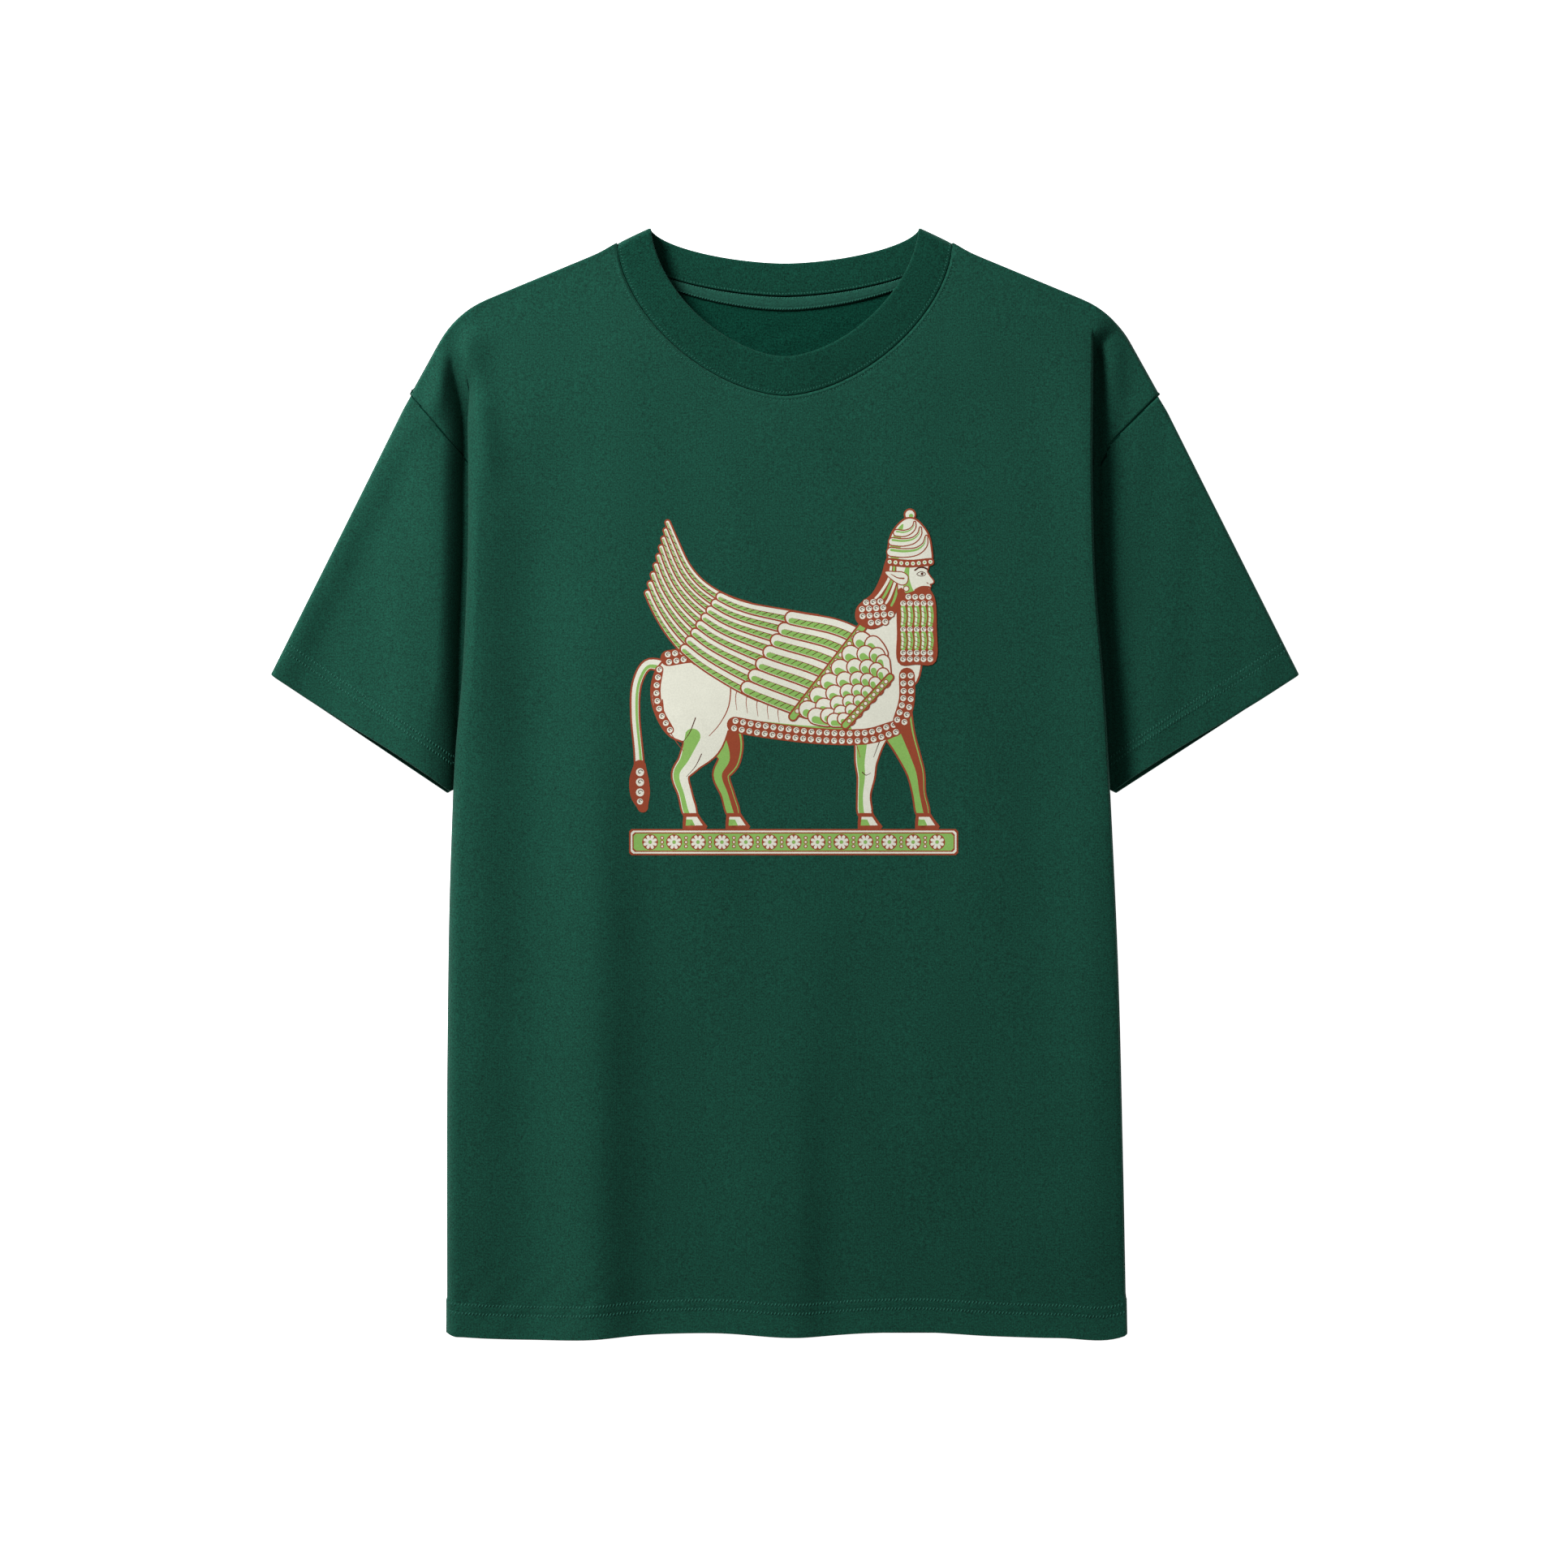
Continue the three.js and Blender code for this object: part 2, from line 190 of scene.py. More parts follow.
# Low, long waves that any cloth on a table has: height, length across, length down, phase.
BODY_WAVES = [
    (0.42, 171, 610, 1.3), (0.30, 97, -480, 0.4), (0.20, 63, 350, 2.1), (0.12, 210, -88, 5.0),
    (0.07, 41, 133, 3.3),
]

neck_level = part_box("back")[1].y * 1000


def to_metres(points):
    out = np.array(points, float)
    out[..., 1] += neck_level
    return out * 0.001


def clamp01(v):
    return np.clip(v, 0.0, 1.0)


def ease(v):
    v = clamp01(v)
    return v * v * (3 - 2 * v)


def rounded(v):
    return np.sqrt(1 - (1 - clamp01(v)) ** 2)


def after(v, start, grows):
    """Rises from 0 to 1 from start on."""
    return ease((v - start) / grows)


def window(v, start, grows, end, fades):
    """Rises from 0 to 1 from start on, and goes back to 0 from end on."""
    return after(v, start, grows) * (1 - after(v, end, fades))


def mix(a, b, share):
    return a + (b - a) * share


def bell(distance, width):
    return np.exp(-((distance / width) ** 2))


def unit(v):
    return v / np.maximum(np.linalg.norm(v, axis=-1, keepdims=True), 1e-9)


def smooth_through(keys, at):
    """A smooth curve through (place, value) pairs."""
    x, y = (np.array(column, float) for column in zip(*keys))
    slope = np.gradient(y, x)
    at = np.clip(at, x[0], x[-1])
    i = np.clip(np.searchsorted(x, at) - 1, 0, len(x) - 2)
    span = x[i + 1] - x[i]
    t = (at - x[i]) / span
    from_start = y[i] * (1 + 2 * t) * (1 - t) ** 2 + slope[i] * span * t * (1 - t) ** 2
    from_end = y[i + 1] * t * t * (3 - 2 * t) + slope[i + 1] * span * t * t * (t - 1)
    return from_start + from_end


def half_width(side, y):
    """How far out a folded side lies; side is -1 on the left and 1 on the right."""
    y = np.asarray(y, float)
    step = HEM_STEP * after(-y, BODY_LENGTH - HEM_DEPTH - 1, 2)
    return smooth_through(LEFT_SIDE if side < 0 else RIGHT_SIDE, -y) + step


def by_side(x, left, right):
    return np.where(np.asarray(x) < 0, left, right)


def half_at(x, y):
    return by_side(x, half_width(-1, y), half_width(1, y))


# The shoulder edge: a slope, a round turn and a steeper line down to the armhole seam.
CORNER_DROP = math.tan(SHOULDER_FALL) * (CORNER_X - NECK_HALF)
CAP_FALL = math.atan2(TIP_DROP - CORNER_DROP, TIP_X - CORNER_X)
TURN_REACH = SHOULDER_RADIUS * math.tan((CAP_FALL - SHOULDER_FALL) / 2)
TURN_START = CORNER_X - TURN_REACH * math.cos(SHOULDER_FALL)
TURN_END = CORNER_X + TURN_REACH * math.cos(CAP_FALL)
TURN_X = TURN_START - SHOULDER_RADIUS * math.sin(SHOULDER_FALL)
TURN_Y = -CORNER_DROP + TURN_REACH * math.sin(SHOULDER_FALL) - SHOULDER_RADIUS * math.cos(SHOULDER_FALL)


def shoulder_y(x):
    out = np.abs(x)
    slope = -math.tan(SHOULDER_FALL) * (out - NECK_HALF) + NECK_CORNER * bell(out - NECK_HALF, 8)
    turn = TURN_Y + np.sqrt(np.maximum(SHOULDER_RADIUS**2 - (out - TURN_X) ** 2, 0))
    steep = -TIP_DROP - (out - TIP_X) * math.tan(CAP_FALL)
    return np.where(out <= TURN_START, slope, np.where(out <= TURN_END, turn, steep))


def neckline(turn, half, drop, top=0.0):
    """Neckline points; turn is 0 in the middle of the front, pi / 2 at the shoulder and pi at the back."""
    across = np.sin(turn)
    x = half * np.sign(across) * np.abs(across) ** (2 / NECK_POWER)
    y = top - drop * np.abs(np.cos(turn)) ** (2 / NECK_POWER)
    return x, y


def neck_distance(x, y, drop):
    """How far a point lies outside a neckline."""
    a = np.maximum(np.abs(x), 1e-3) / NECK_HALF
    b = np.maximum(-y, 1e-3) / drop
    level = a**NECK_POWER + b**NECK_POWER
    slope_x = NECK_POWER * a ** (NECK_POWER - 1) / NECK_HALF
    slope_y = NECK_POWER * b ** (NECK_POWER - 1) / drop
    return (level - 1) / np.hypot(slope_x, slope_y)


def hem_y(x):
    return -smooth_through(HEM_LINE, x)


TIP = np.array([TIP_X, -TIP_DROP], float)
CUFF_OUTER = TIP + SLEEVE_LENGTH * np.array([math.cos(SLEEVE_FALL), -math.sin(SLEEVE_FALL)])
OUTER_EDGE = [np.array([x, float(shoulder_y(x))]) for x in np.linspace(NECK_HALF, TIP_X, 40)] + [CUFF_OUTER]


def edge_distance(x, y):
    """How far a point lies inside the shoulder edge and the sleeve's top edge."""
    px, py = np.broadcast_arrays(np.abs(x).astype(float), np.asarray(y, float))
    best = np.full(px.shape, 1e9)
    within = np.ones(px.shape, bool)
    for a, b in zip(OUTER_EDGE[:-1], OUTER_EDGE[1:]):
        d = b - a
        fx, fy = px - a[0], py - a[1]
        share = clamp01((fx * d[0] + fy * d[1]) / (d @ d))
        away = np.hypot(fx - share * d[0], fy - share * d[1])
        nearer = away < best
        best = np.where(nearer, away, best)
        within = np.where(nearer, d[0] * fy - d[1] * fx < 0, within)
    return np.where(within | (px < NECK_HALF), best, -best)


def waves(x, y, table):
    total = 0
    for tall, across, down, phase in table:
        total = total + tall * np.sin(2 * np.pi * (x / across + y / down) + phase)
    return total


def body_height(x, y):
    height = BODY_LOFT + waves(x, y, BODY_WAVES)
    for crest, tall, left, right, start, grows, end, fades in FOLDS:
        away = x - crest
        across = bell(away, by_side(away, left, right))
        height = height + tall * across * window(-y, start, grows, end, fades)
    return height


def formed(x, y, left, right):
    """How far something has formed that starts at one drop and grows over some length, on either side."""
    return by_side(x, after(-y, *left), after(-y, *right))


def crease_share(x, y):
    return formed(x, y, LEFT_CREASE, RIGHT_CREASE)


def valley_share(x, y):
    return formed(x, y, LEFT_VALLEY, RIGHT_VALLEY)


def beyond_valley(x, y):
    """Distance outside the bottom of the valley, which on the left drifts out towards the shoulder."""
    drift = by_side(x, VALLEY_DRIFT * (1 - after(-y, *DRIFT_SPAN)), 0)
    return np.abs(x) - half_at(x, y) - drift


def armhole_bend(side, share):
    """How far the right armhole seam dips below a straight line from the shoulder's tip to the armpit."""
    return (ARMHOLE_BEND if side > 0 else 0.0) * window(share, *ARMHOLE_BEND_SPAN)


def armhole_level(side, share):
    """Height of the armhole seam at a share of the way out from the armpit to the shoulder's tip."""
    return mix(-ARMPIT_DROP, -TIP_DROP, share) - armhole_bend(side, 1 - share)


def armhole_distance(x, y, side):
    """Distance below the armhole seam."""
    armpit = np.array([half_width(side, -ARMPIT_DROP), -ARMPIT_DROP])
    along = unit(armpit - TIP)
    out, up = np.abs(x) - TIP[0], y - TIP[1]
    share = clamp01((out * along[0] + up * along[1]) / np.linalg.norm(armpit - TIP))
    return -out * along[1] + up * along[0] + along[0] * armhole_bend(side, share)


def sleeve_height(x, y):
    """Height of the sleeves and of the shoulder caps beside the valley."""
    x = np.asarray(x, float)
    drop = -np.asarray(y, float)
    out = np.maximum(beyond_valley(x, y), 0)
    foot = by_side(x, LEFT_FOOT * window(drop, *LEFT_FOOT_SPAN), RIGHT_FOOT * after(drop, *RIGHT_FOOT_SPAN))
    left_roll = mix(*LEFT_ROLL, after(drop, *LEFT_ROLL_SPAN)) + CUFF_ROLL * after(drop, *CUFF_ROLL_SPAN)
    roll = by_side(x, left_roll, mix(*RIGHT_ROLL, after(drop, *RIGHT_ROLL_SPAN)))
    climb = rounded(np.maximum((out - foot) / roll, 0) ** by_side(x, *CLIMB_POWERS))
    crest = mix(LEFT_LOFT, CREST_LOFT, bell(np.maximum(out - foot - roll, 0), CREST_WIDTH))
    right = mix(RIGHT_LOFT, RIGHT_LOW, after(drop, *RIGHT_LOW_SPAN)) + RIGHT_CLIMB * out
    loft = by_side(x, crest, right)
    along = (drop - TIP_DROP) * 0.9 + (np.abs(x) - TIP_X) * 0.45
    drag = waves(out, along, [(0.5, 74, -320, by_side(x, 0.6, 2.4)), (0.25, 37, 190, 1.7)])
    cap_ridge = CAP_RIDGE * bell(out - 5 - 0.4 * (drop - 81), 7) * window(drop, *CAP_RIDGE_SPAN)
    drag = drag + by_side(x, cap_ridge, 1.8 * bell(x - 224, 7) * bell(drop - 92, 30))
    height = mix(CREASE_LOFT, loft + drag, mix(1.0, climb, valley_share(x, y)))
    inset = edge_distance(x, y)
    bulge = by_side(x, FOLD_BULGE * bell(inset - 6, 11), 0) * after(drop, *FOLD_BULGE_SPAN)
    return mix(EDGE_HEIGHT, height + bulge, rounded(inset / SLEEVE_ROUND))


def stitch_dents(distance, rows, depth=0.22, width=0.8):
    return -sum(depth * bell(distance - row, width) for row in rows)


def front_relief(x, y):
    """What the sewing does to the front: dents along the topstitching and the edge at the collar seam."""
    from_hem = y - hem_y(x)
    hem = stitch_dents(from_hem, HEM_ROWS, 0.12, 0.6) + 0.15 * bell(from_hem - np.mean(HEM_ROWS), 1.8)
    hem = hem + 1.2 * clamp01(1 - from_hem / 14)
    drags = 0.3 * np.sin(2 * np.pi * (x - from_hem) / 26) * bell(from_hem - 26, 22) * ease((-x - 90) / 60)
    neck = neck_distance(x, y, FRONT_DROP)
    near_neck = (np.abs(x) < NECK_HALF + 8) & (y < 2)
    collar = -0.6 * bell(neck, 0.7) + 0.2 * bell(neck - 1.5, 0.8)
    collar = collar + stitch_dents(neck, (COLLAR_ROW_OUT,), 0.2, 0.9)
    return hem + drags + np.where(near_neck, collar, 0.0)


def body_top(x, y):
    """Height of the body's upper face, without its folded sides."""
    inset = edge_distance(x, y)
    loft = mix(SHOULDER_LOFT, body_height(x, y), ease(inset / SHOULDER_RISE)) + front_relief(x, y)
    from_ridge = -beyond_valley(x, y) - RIDGE_INSET
    ridge = LEFT_RIDGE * bell(from_ridge, by_side(from_ridge, *RIDGE_WIDTHS)) * window(-y, *RIDGE_SPAN)
    loft = loft + by_side(x, ridge, 0)
    return mix(EDGE_HEIGHT, loft, rounded((inset - EDGE_SLACK) / EDGE_ROUND))


def open_top(x, y):
    """Height of the shoulders, where the body runs on into the cap without a fold."""
    valley = valley_share(x, y)
    blend = mix(by_side(x, *OPEN_BLEND), by_side(x, *VALLEY_BLEND), valley)
    share = -beyond_valley(x, y) / blend + mix(by_side(x, *OPEN_START), by_side(x, *VALLEY_START), valley)
    return mix(sleeve_height(x, y), body_top(x, y), ease(share))


def front_top(x, y):
    """Height of the front's upper face anywhere between its folded sides."""
    from_side = half_at(x, y) - np.abs(x)
    folded = mix(SIDE_MIDDLE, body_top(x, y), rounded(from_side / by_side(x, LEFT_ROUND, RIGHT_ROUND)))
    return mix(open_top(x, y), folded, crease_share(x, y))


# Mesh making


def add_object(name, data):
    obj = bpy.data.objects.new(name, data)
    bpy.context.scene.collection.objects.link(obj)
    return obj


def new_object(name, vertices, faces, material, sharp=50):
    mesh = bpy.data.meshes.new(name)
    mesh.from_pydata(vertices.tolist(), [], faces)
    mesh.materials.append(material)
    mesh.shade_smooth()
    mesh.set_sharp_from_angle(angle=math.radians(sharp))
    return add_object(name, mesh)


def open_edges(faces):
    """The edges that only one face has, each with that face's number."""
    found = {}
    for number, face in enumerate(faces):
        for edge in zip(face, face[1:] + face[:1]):
            if found.pop(edge[::-1], None) is None:
                found[edge] = number
    return found


def only_used(vertices, faces):
    """The vertices that some faces use, and the faces with their corners numbered to match."""
    used = np.unique(np.concatenate(faces))
    number = np.zeros(len(vertices), int)
    number[used] = np.arange(len(used))
    return vertices[used], [number[list(face)].tolist() for face in faces]


def surface_normals(grid):
    """Upward normals of a grid of points whose rows run down and whose columns run right."""
    return unit(np.cross(np.gradient(grid, axis=1), -np.gradient(grid, axis=0)))


RIM_BULGE = 0.4


def shell(name, grid, thickness, material, mask=None):
    """A sheet of cloth as a closed shell: grid is its upper face, and mask says which cells it has."""
    rows, columns = grid.shape[:2]
    if mask is None:
        mask = np.ones((rows - 1, columns - 1), bool)
    thick = np.broadcast_to(thickness, (rows, columns))[..., None]
    normal = surface_normals(grid)
    upper = grid.reshape(-1, 3)
    under = (grid - normal * thick).reshape(-1, 3)
    flat_normal = normal.reshape(-1, 3)
    index = np.arange(rows * columns).reshape(rows, columns)
    quads = np.stack([index[:-1, :-1], index[1:, :-1], index[1:, 1:], index[:-1, 1:]], axis=2)[mask].tolist()
    edges = sorted(open_edges(quads))
    outward = {}
    for a, b in edges:
        out = unit(np.cross(upper[b] - upper[a], flat_normal[a]))
        for v in (a, b):
            outward[v] = outward.get(v, 0) + out
    below = rows * columns
    rim = {v: 2 * below + i for i, v in enumerate(outward)}
    rim_points = [
        (upper[v] + under[v]) / 2 + unit(out) * np.linalg.norm(upper[v] - under[v]) * RIM_BULGE
        for v, out in outward.items()
    ]
    faces = quads + [[v + below for v in reversed(quad)] for quad in quads]
    for a, b in edges:
        faces.append((b, a, rim[a], rim[b]))
        faces.append((rim[b], rim[a], a + below, b + below))
    vertices, faces = only_used(np.concatenate([upper, under, np.array(rim_points)]), faces)
    return new_object(name, to_metres(vertices), faces, material)


def ring_mesh(name, loops, material, sharp=50):
    """A closed surface from closed loops of points that themselves close into a ring."""
    count, around = loops.shape[:2]
    a = np.arange(count * around).reshape(count, around)
    b = np.roll(a, -1, axis=1)
    c = np.roll(b, -1, axis=0)
    d = np.roll(a, -1, axis=0)
    faces = np.stack([a, b, c, d], axis=2).reshape(-1, 4)
    return new_object(name, to_metres(loops.reshape(-1, 3)), faces.tolist(), material, sharp)


def lengths_along(path):
    """How far along a path each of its points lies."""
    return np.concatenate([[0], np.cumsum(np.linalg.norm(np.diff(path, axis=0), axis=1))])


def read_off(points, lengths, at):
    """A path's points, or what goes with them, at other lengths along it."""
    return np.stack([np.interp(at, lengths, column) for column in points.T], axis=1)


def stitched(path, normals, pitch, slant):
    """Evenly spaced stitches along a fine path: middles, directions and normals. slant turns each stitch
    within the surface, in degrees."""
    lengths = lengths_along(path)
    count = max(2, int(round(lengths[-1] / pitch)))
    at = (np.arange(count) + 0.5) * lengths[-1] / count
    points, ahead, behind = (read_off(path, lengths, at + step) for step in (0, 0.4, -0.4))
    up = unit(read_off(normals, lengths, at))
    along = unit(ahead - behind)
    turn = math.radians(slant)
    return points, along * math.cos(turn) + unit(np.cross(up, along)) * math.sin(turn), up


def sew(name, rows, length, radius, around=6, bands=4):
    """Rows of stitches as small capsules, all in one piece. A row is a path, its normals, the stitches' pitch
    and their slant."""
    centres, along, normals = (np.concatenate(parts) for parts in zip(*(stitched(*row) for row in rows)))
    along = unit(along)
    across = unit(np.cross(normals, along))
    up = np.cross(along, across)
    angle = 2 * np.pi * np.arange(around) / around
    tip = np.array([[length / 2, 0, 0]])
    shape = [-tip]
    for tilt in np.pi * (np.arange(1, bands) / bands - 0.5):
        r = radius * math.cos(tilt)
        end = (length / 2 - radius) * np.sign(round(math.sin(tilt), 6)) + radius * math.sin(tilt)
        shape.append(np.stack([np.full(around, end), r * np.cos(angle), r * np.sin(angle)], axis=1))
    shape = np.concatenate([*shape, tip])
    points = centres[:, None] + shape @ np.stack([along, across, up], axis=1)
    last = len(shape) - 1
    faces = []
    for i in range(around):
        j = (i + 1) % around
        faces.append((0, 1 + j, 1 + i))
        for a in range(1, last - around, around):
            faces.append((a + i, a + j, a + around + j, a + around + i))
        faces.append((last - around + i, last - around + j, last))
    every = [tuple(v + k * len(shape) for v in face) for k in range(len(centres)) for face in faces]
    stitches = new_object(name, to_metres(points.reshape(-1, 3)), every, thread, sharp=80)
    place_piece(stitches)


# Materials


class Nodes:
    """Small helper that builds a material's node tree."""

    def __init__(self, name):
        self.material = bpy.data.materials.new(name)
        self.material.use_nodes = True
        self.tree = self.material.node_tree
        self.shader = self.tree.nodes["Principled BSDF"]

    def add(self, kind, inputs=None, **settings):
        node = self.tree.nodes.new(kind)
        for key, value in settings.items():
            setattr(node, key, value)
        for key, value in (inputs or {}).items():
            if isinstance(value, bpy.types.NodeSocket):
                self.tree.links.new(value, node.inputs[key])
            else:
                node.inputs[key].default_value = value
        return node

    def math(self, operation, a, b):
        return self.add("ShaderNodeMath", {0: a, 1: b}, operation=operation).outputs[0]

    def noise(self, place, scale, detail=2.0):
        return self.add("ShaderNodeTexNoise", {"Vector": place, "Scale": scale, "Detail": detail})

    def around(self, value, amount, middle=0.5):
        """value as a deviation from its middle, times amount."""
        return self.math("MULTIPLY", self.math("SUBTRACT", value, middle), amount)

    def tint(self, colour, bright):
        """The shader's colour, times a brightness that changes from place to place."""
        inputs = {0: colour, "Scale": bright}
        tint = self.add("ShaderNodeVectorMath", inputs, operation="SCALE").outputs["Vector"]
        self.tree.links.new(tint, self.shader.inputs["Base Color"])

    def bump(self, height, strength, distance):
        """distance is in millimetres."""
        inputs = {"Height": height, "Strength": strength, "Distance": distance * 0.001}
        bump = self.add("ShaderNodeBump", inputs).outputs["Normal"]
        self.tree.links.new(bump, self.shader.inputs["Normal"])

    def plain(self, values):
        for socket, value in values.items():
            self.shader.inputs[socket].default_value = value


def cloth_material(name, colour, wale=0.95, course=0.75, speckle=0.72, relief=0.16, sheen=0.08, gloss=0.15):
    """Knitted cotton: wales and courses of loops, speckled yarn, and slow unevenness in the dye.
    wale, course and relief are millimetres."""
    m = Nodes(name)
    place = m.add("ShaderNodeTexCoord").outputs["Object"]
    wobble = m.noise(place, 260.0).outputs["Color"]
    nudge = m.add("ShaderNodeVectorMath", {0: wobble, "Scale": 0.0007}, operation="SCALE").outputs["Vector"]
    shifted = m.add("ShaderNodeVectorMath", {0: place, 1: nudge}, operation="ADD").outputs["Vector"]
    bands = [
        m.add(
            "ShaderNodeTexWave",
            {"Vector": shifted, "Scale": math.pi / (10 * pitch * 0.001), "Distortion": 0.0},
            wave_type="BANDS",
            bands_direction=axis,
        ).outputs["Fac"]
        for axis, pitch in (("X", wale), ("Y", course))
    ]
    knit = m.math("MULTIPLY", *bands)
    yarn, grain = (m.noise(place, scale).outputs["Fac"] for scale in (1500.0, 930.0))
    cloud, slow = (m.noise(place, scale, 3.0).outputs["Fac"] for scale in (300.0, 14.0))
    bright = m.around(yarn, speckle)
    for value, amount in ((grain, speckle * 2.8), (cloud, speckle * 0.4), (slow, 0.14)):
        bright = m.math("ADD", bright, m.around(value, amount))
    bright = m.math("ADD", bright, m.around(knit, 0.08, 0.25))
    m.tint(colour, m.math("ADD", bright, 1.0))
    m.bump(m.math("ADD", m.math("MULTIPLY", knit, 0.7), m.math("MULTIPLY", yarn, 0.6)), 0.55, relief)
    m.plain({"Roughness": 0.92, "Specular IOR Level": gloss})
    m.plain({"Sheen Weight": sheen, "Sheen Roughness": 0.45, "Sheen Tint": (0.45, 0.8, 0.68, 1.0)})
    return m.material


JERSEY_COLOUR = (0.0046, 0.0512, 0.0325)
# The back's inside face is darker than the front, partly as the knit's wrong side and partly as painted shade
# for the deep neck opening.
INSIDE_AND_SHADE_COLOUR = (0.0022, 0.0330, 0.0208)
# A near-black green that paints shade on upright faces at the outlines, on a thin line along the armhole
# seams and on the collar's rim.
PAINTED_SHADE_COLOUR = (0.0025, 0.0200, 0.0132)
RIB_COLOUR = (0.0030, 0.0385, 0.0242)
TAPE_COLOUR = (0.0076, 0.0580, 0.0392)
THREAD_COLOUR = (0.0200, 0.1080, 0.0770)

jersey = cloth_material("jersey", JERSEY_COLOUR)
# The back's inside: darker partly as the knit's wrong side and partly as painted shade.
jersey_inside_and_shade = cloth_material("jersey_inside_and_shade", INSIDE_AND_SHADE_COLOUR, speckle=0.85, sheen=0.04, gloss=0.03)
# Painted shade: the outline walls, the armhole seam lines and the collar rim get this cloth instead of the
# jersey.
jersey_painted_shade = cloth_material("jersey_painted_shade", PAINTED_SHADE_COLOUR, speckle=0.5, relief=0.1, sheen=0.0, gloss=0.0)
rib = cloth_material("rib", RIB_COLOUR, wale=1.1, course=0.8, speckle=0.8, relief=0.14, gloss=0.08)
tape = cloth_material("tape", TAPE_COLOUR, wale=0.7, course=0.7, speckle=0.5, relief=0.12)
thread = cloth_material("thread", THREAD_COLOUR, wale=0.3, course=0.3, speckle=0.3, relief=0.05)


def place_piece(piece, node=None):
    if node:
        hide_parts(node)
    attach(piece, "root")
    return piece


def paint_shade_on_faces(piece, material, wanted):
    """Gives the faces that pass a test a second, darker material, which paints shade on them, in full or in
    part.
    """
    piece.data.materials.append(material)
    for face in piece.data.polygons:
        if wanted(face):
            face.material_index = 1


# Painted shade along the armhole seams: the line's half width in millimetres and the span of y it covers.
# Inside CREASE_SPAN, upright faces in the creases get no painted shade.
ARMHOLE_SHADE = 0.45
ARMHOLE_SPAN = (-170, -95)
CREASE_SPAN = (-CUFF_INNER_DROP, -50)


def plan_of(face):
    """A face's place in the shirt's plan."""
    return face.center.x * 1000, face.center.y * 1000 - neck_level


def in_shade(face):
    """Whether a face stands upright at the front's outline, where shade is painted on it; upright faces in
    the creases get none unless they lie at the shoulder edge.
    """
    x, y = plan_of(face)
    in_crease = abs(x) > RIGHT_SIDE[0][1] - 12 and CREASE_SPAN[0] < y < CREASE_SPAN[1]
    return abs(face.normal.z) < STEEP and (not in_crease or float(edge_distance(x, y)) < EDGE_ROUND + 1)


def at_armhole(face):
    """Whether a face lies at an armhole seam, outside the folded side, where a thin line of shade is painted.
    """
    x, y = plan_of(face)
    if not LEFT_SIDE[0][1] - 8 < abs(x) < TIP_X or not ARMHOLE_SPAN[0] < y < ARMHOLE_SPAN[1]:
        return False
    side = -1 if x < 0 else 1
    return abs(x) > half_width(side, y) and abs(float(armhole_distance(x, y, side))) < ARMHOLE_SHADE


# Body panels. Both have rows that run down from the neckline and shoulders, and cap columns at either end
# that stop at the armhole seam.

BODY_ROW_PITCH = 4.5
CAP_SHARES = np.linspace(1, 0.06, 27)
UPPER_SHARES = np.append(np.linspace(0, 1, 50)[:-1] ** 1.5, [0.98, 0.988, 0.994, 1])
UPPER_ROWS = len(UPPER_SHARES) - 1
HEM_DISTANCES = [
    24.3, 23.2, 22.4, 21.6, 20.8, 19.9, 18.6, 17.3, 16.4, 15.6, 14.8, 13.8, 11.5, 8.5, 5.5, 3, 1.5, 0.6, 0
]


def column_rows(x_top, y_top, y_armhole, drop_hem):
    """Heights of some columns' rows, from the top edge over the armhole line down to the hem."""
    body = np.arange(ARMPIT_DROP + BODY_ROW_PITCH, BODY_LENGTH - HEM_DISTANCES[0] - 3, BODY_ROW_PITCH)
    parts = [mix(y_top, y_armhole, share) for share in UPPER_SHARES]
    parts += [np.full(x_top.shape, -drop) for drop in body]
    parts += [drop_hem(x_top) + distance for distance in HEM_DISTANCES]
    return np.stack(parts)


def top_columns(x_from, x_to, count, neck_half, drop):
    """Even steps along the shoulders and a neckline, from one x to another."""
    turns = np.linspace(-np.pi / 2, np.pi / 2, 800)
    neck = np.stack(neckline(turns, neck_half, drop), axis=1)
    left = np.linspace(x_from, -NECK_HALF, 300)[:-1]
    right = np.linspace(NECK_HALF, x_to, 300)[1:]
    shoulders = [np.stack([x, shoulder_y(x)], axis=1) for x in (left, right)]
    path = np.concatenate([shoulders[0], neck, shoulders[1]])
    lengths = lengths_along(path)
    return read_off(path, lengths, np.linspace(0, lengths[-1], count)).T


def inner_columns(start_x, end_x, count, neck_half, drop, hem):
    """The columns between two end columns: along the top edge they keep even steps, and further down they
    spread evenly."""
    top_x, top_y = top_columns(start_x[0, 0], end_x[0, 0], count, neck_half, drop)
    y = column_rows(top_x, top_y, np.full(count, -ARMPIT_DROP), hem)
    spread = mix(start_x, end_x, np.linspace(0, 1, count)[None, :])
    shares = np.ones(len(y))
    shares[: UPPER_ROWS + 1] = ease(UPPER_SHARES)
    x = mix(top_x[None, :], spread, shares[:, None])
    y[-len(HEM_DISTANCES) :] = hem(x[-1]) + np.array(HEM_DISTANCES)[:, None]
    return x, y


def cut_below_armholes(shape, cap_columns):
    mask = np.ones((shape[0] - 1, shape[1] - 1), bool)
    mask[UPPER_ROWS:, :cap_columns] = False
    mask[UPPER_ROWS:, -cap_columns:] = False
    return mask


# The front. From the middle of the shirt it comes down over a rolled side, tucks in under it and comes out
# again as the shoulder cap.

TUCK_COLUMNS = 5
TUCK_DEPTH = 0.9
FRONT_COLUMNS = 112


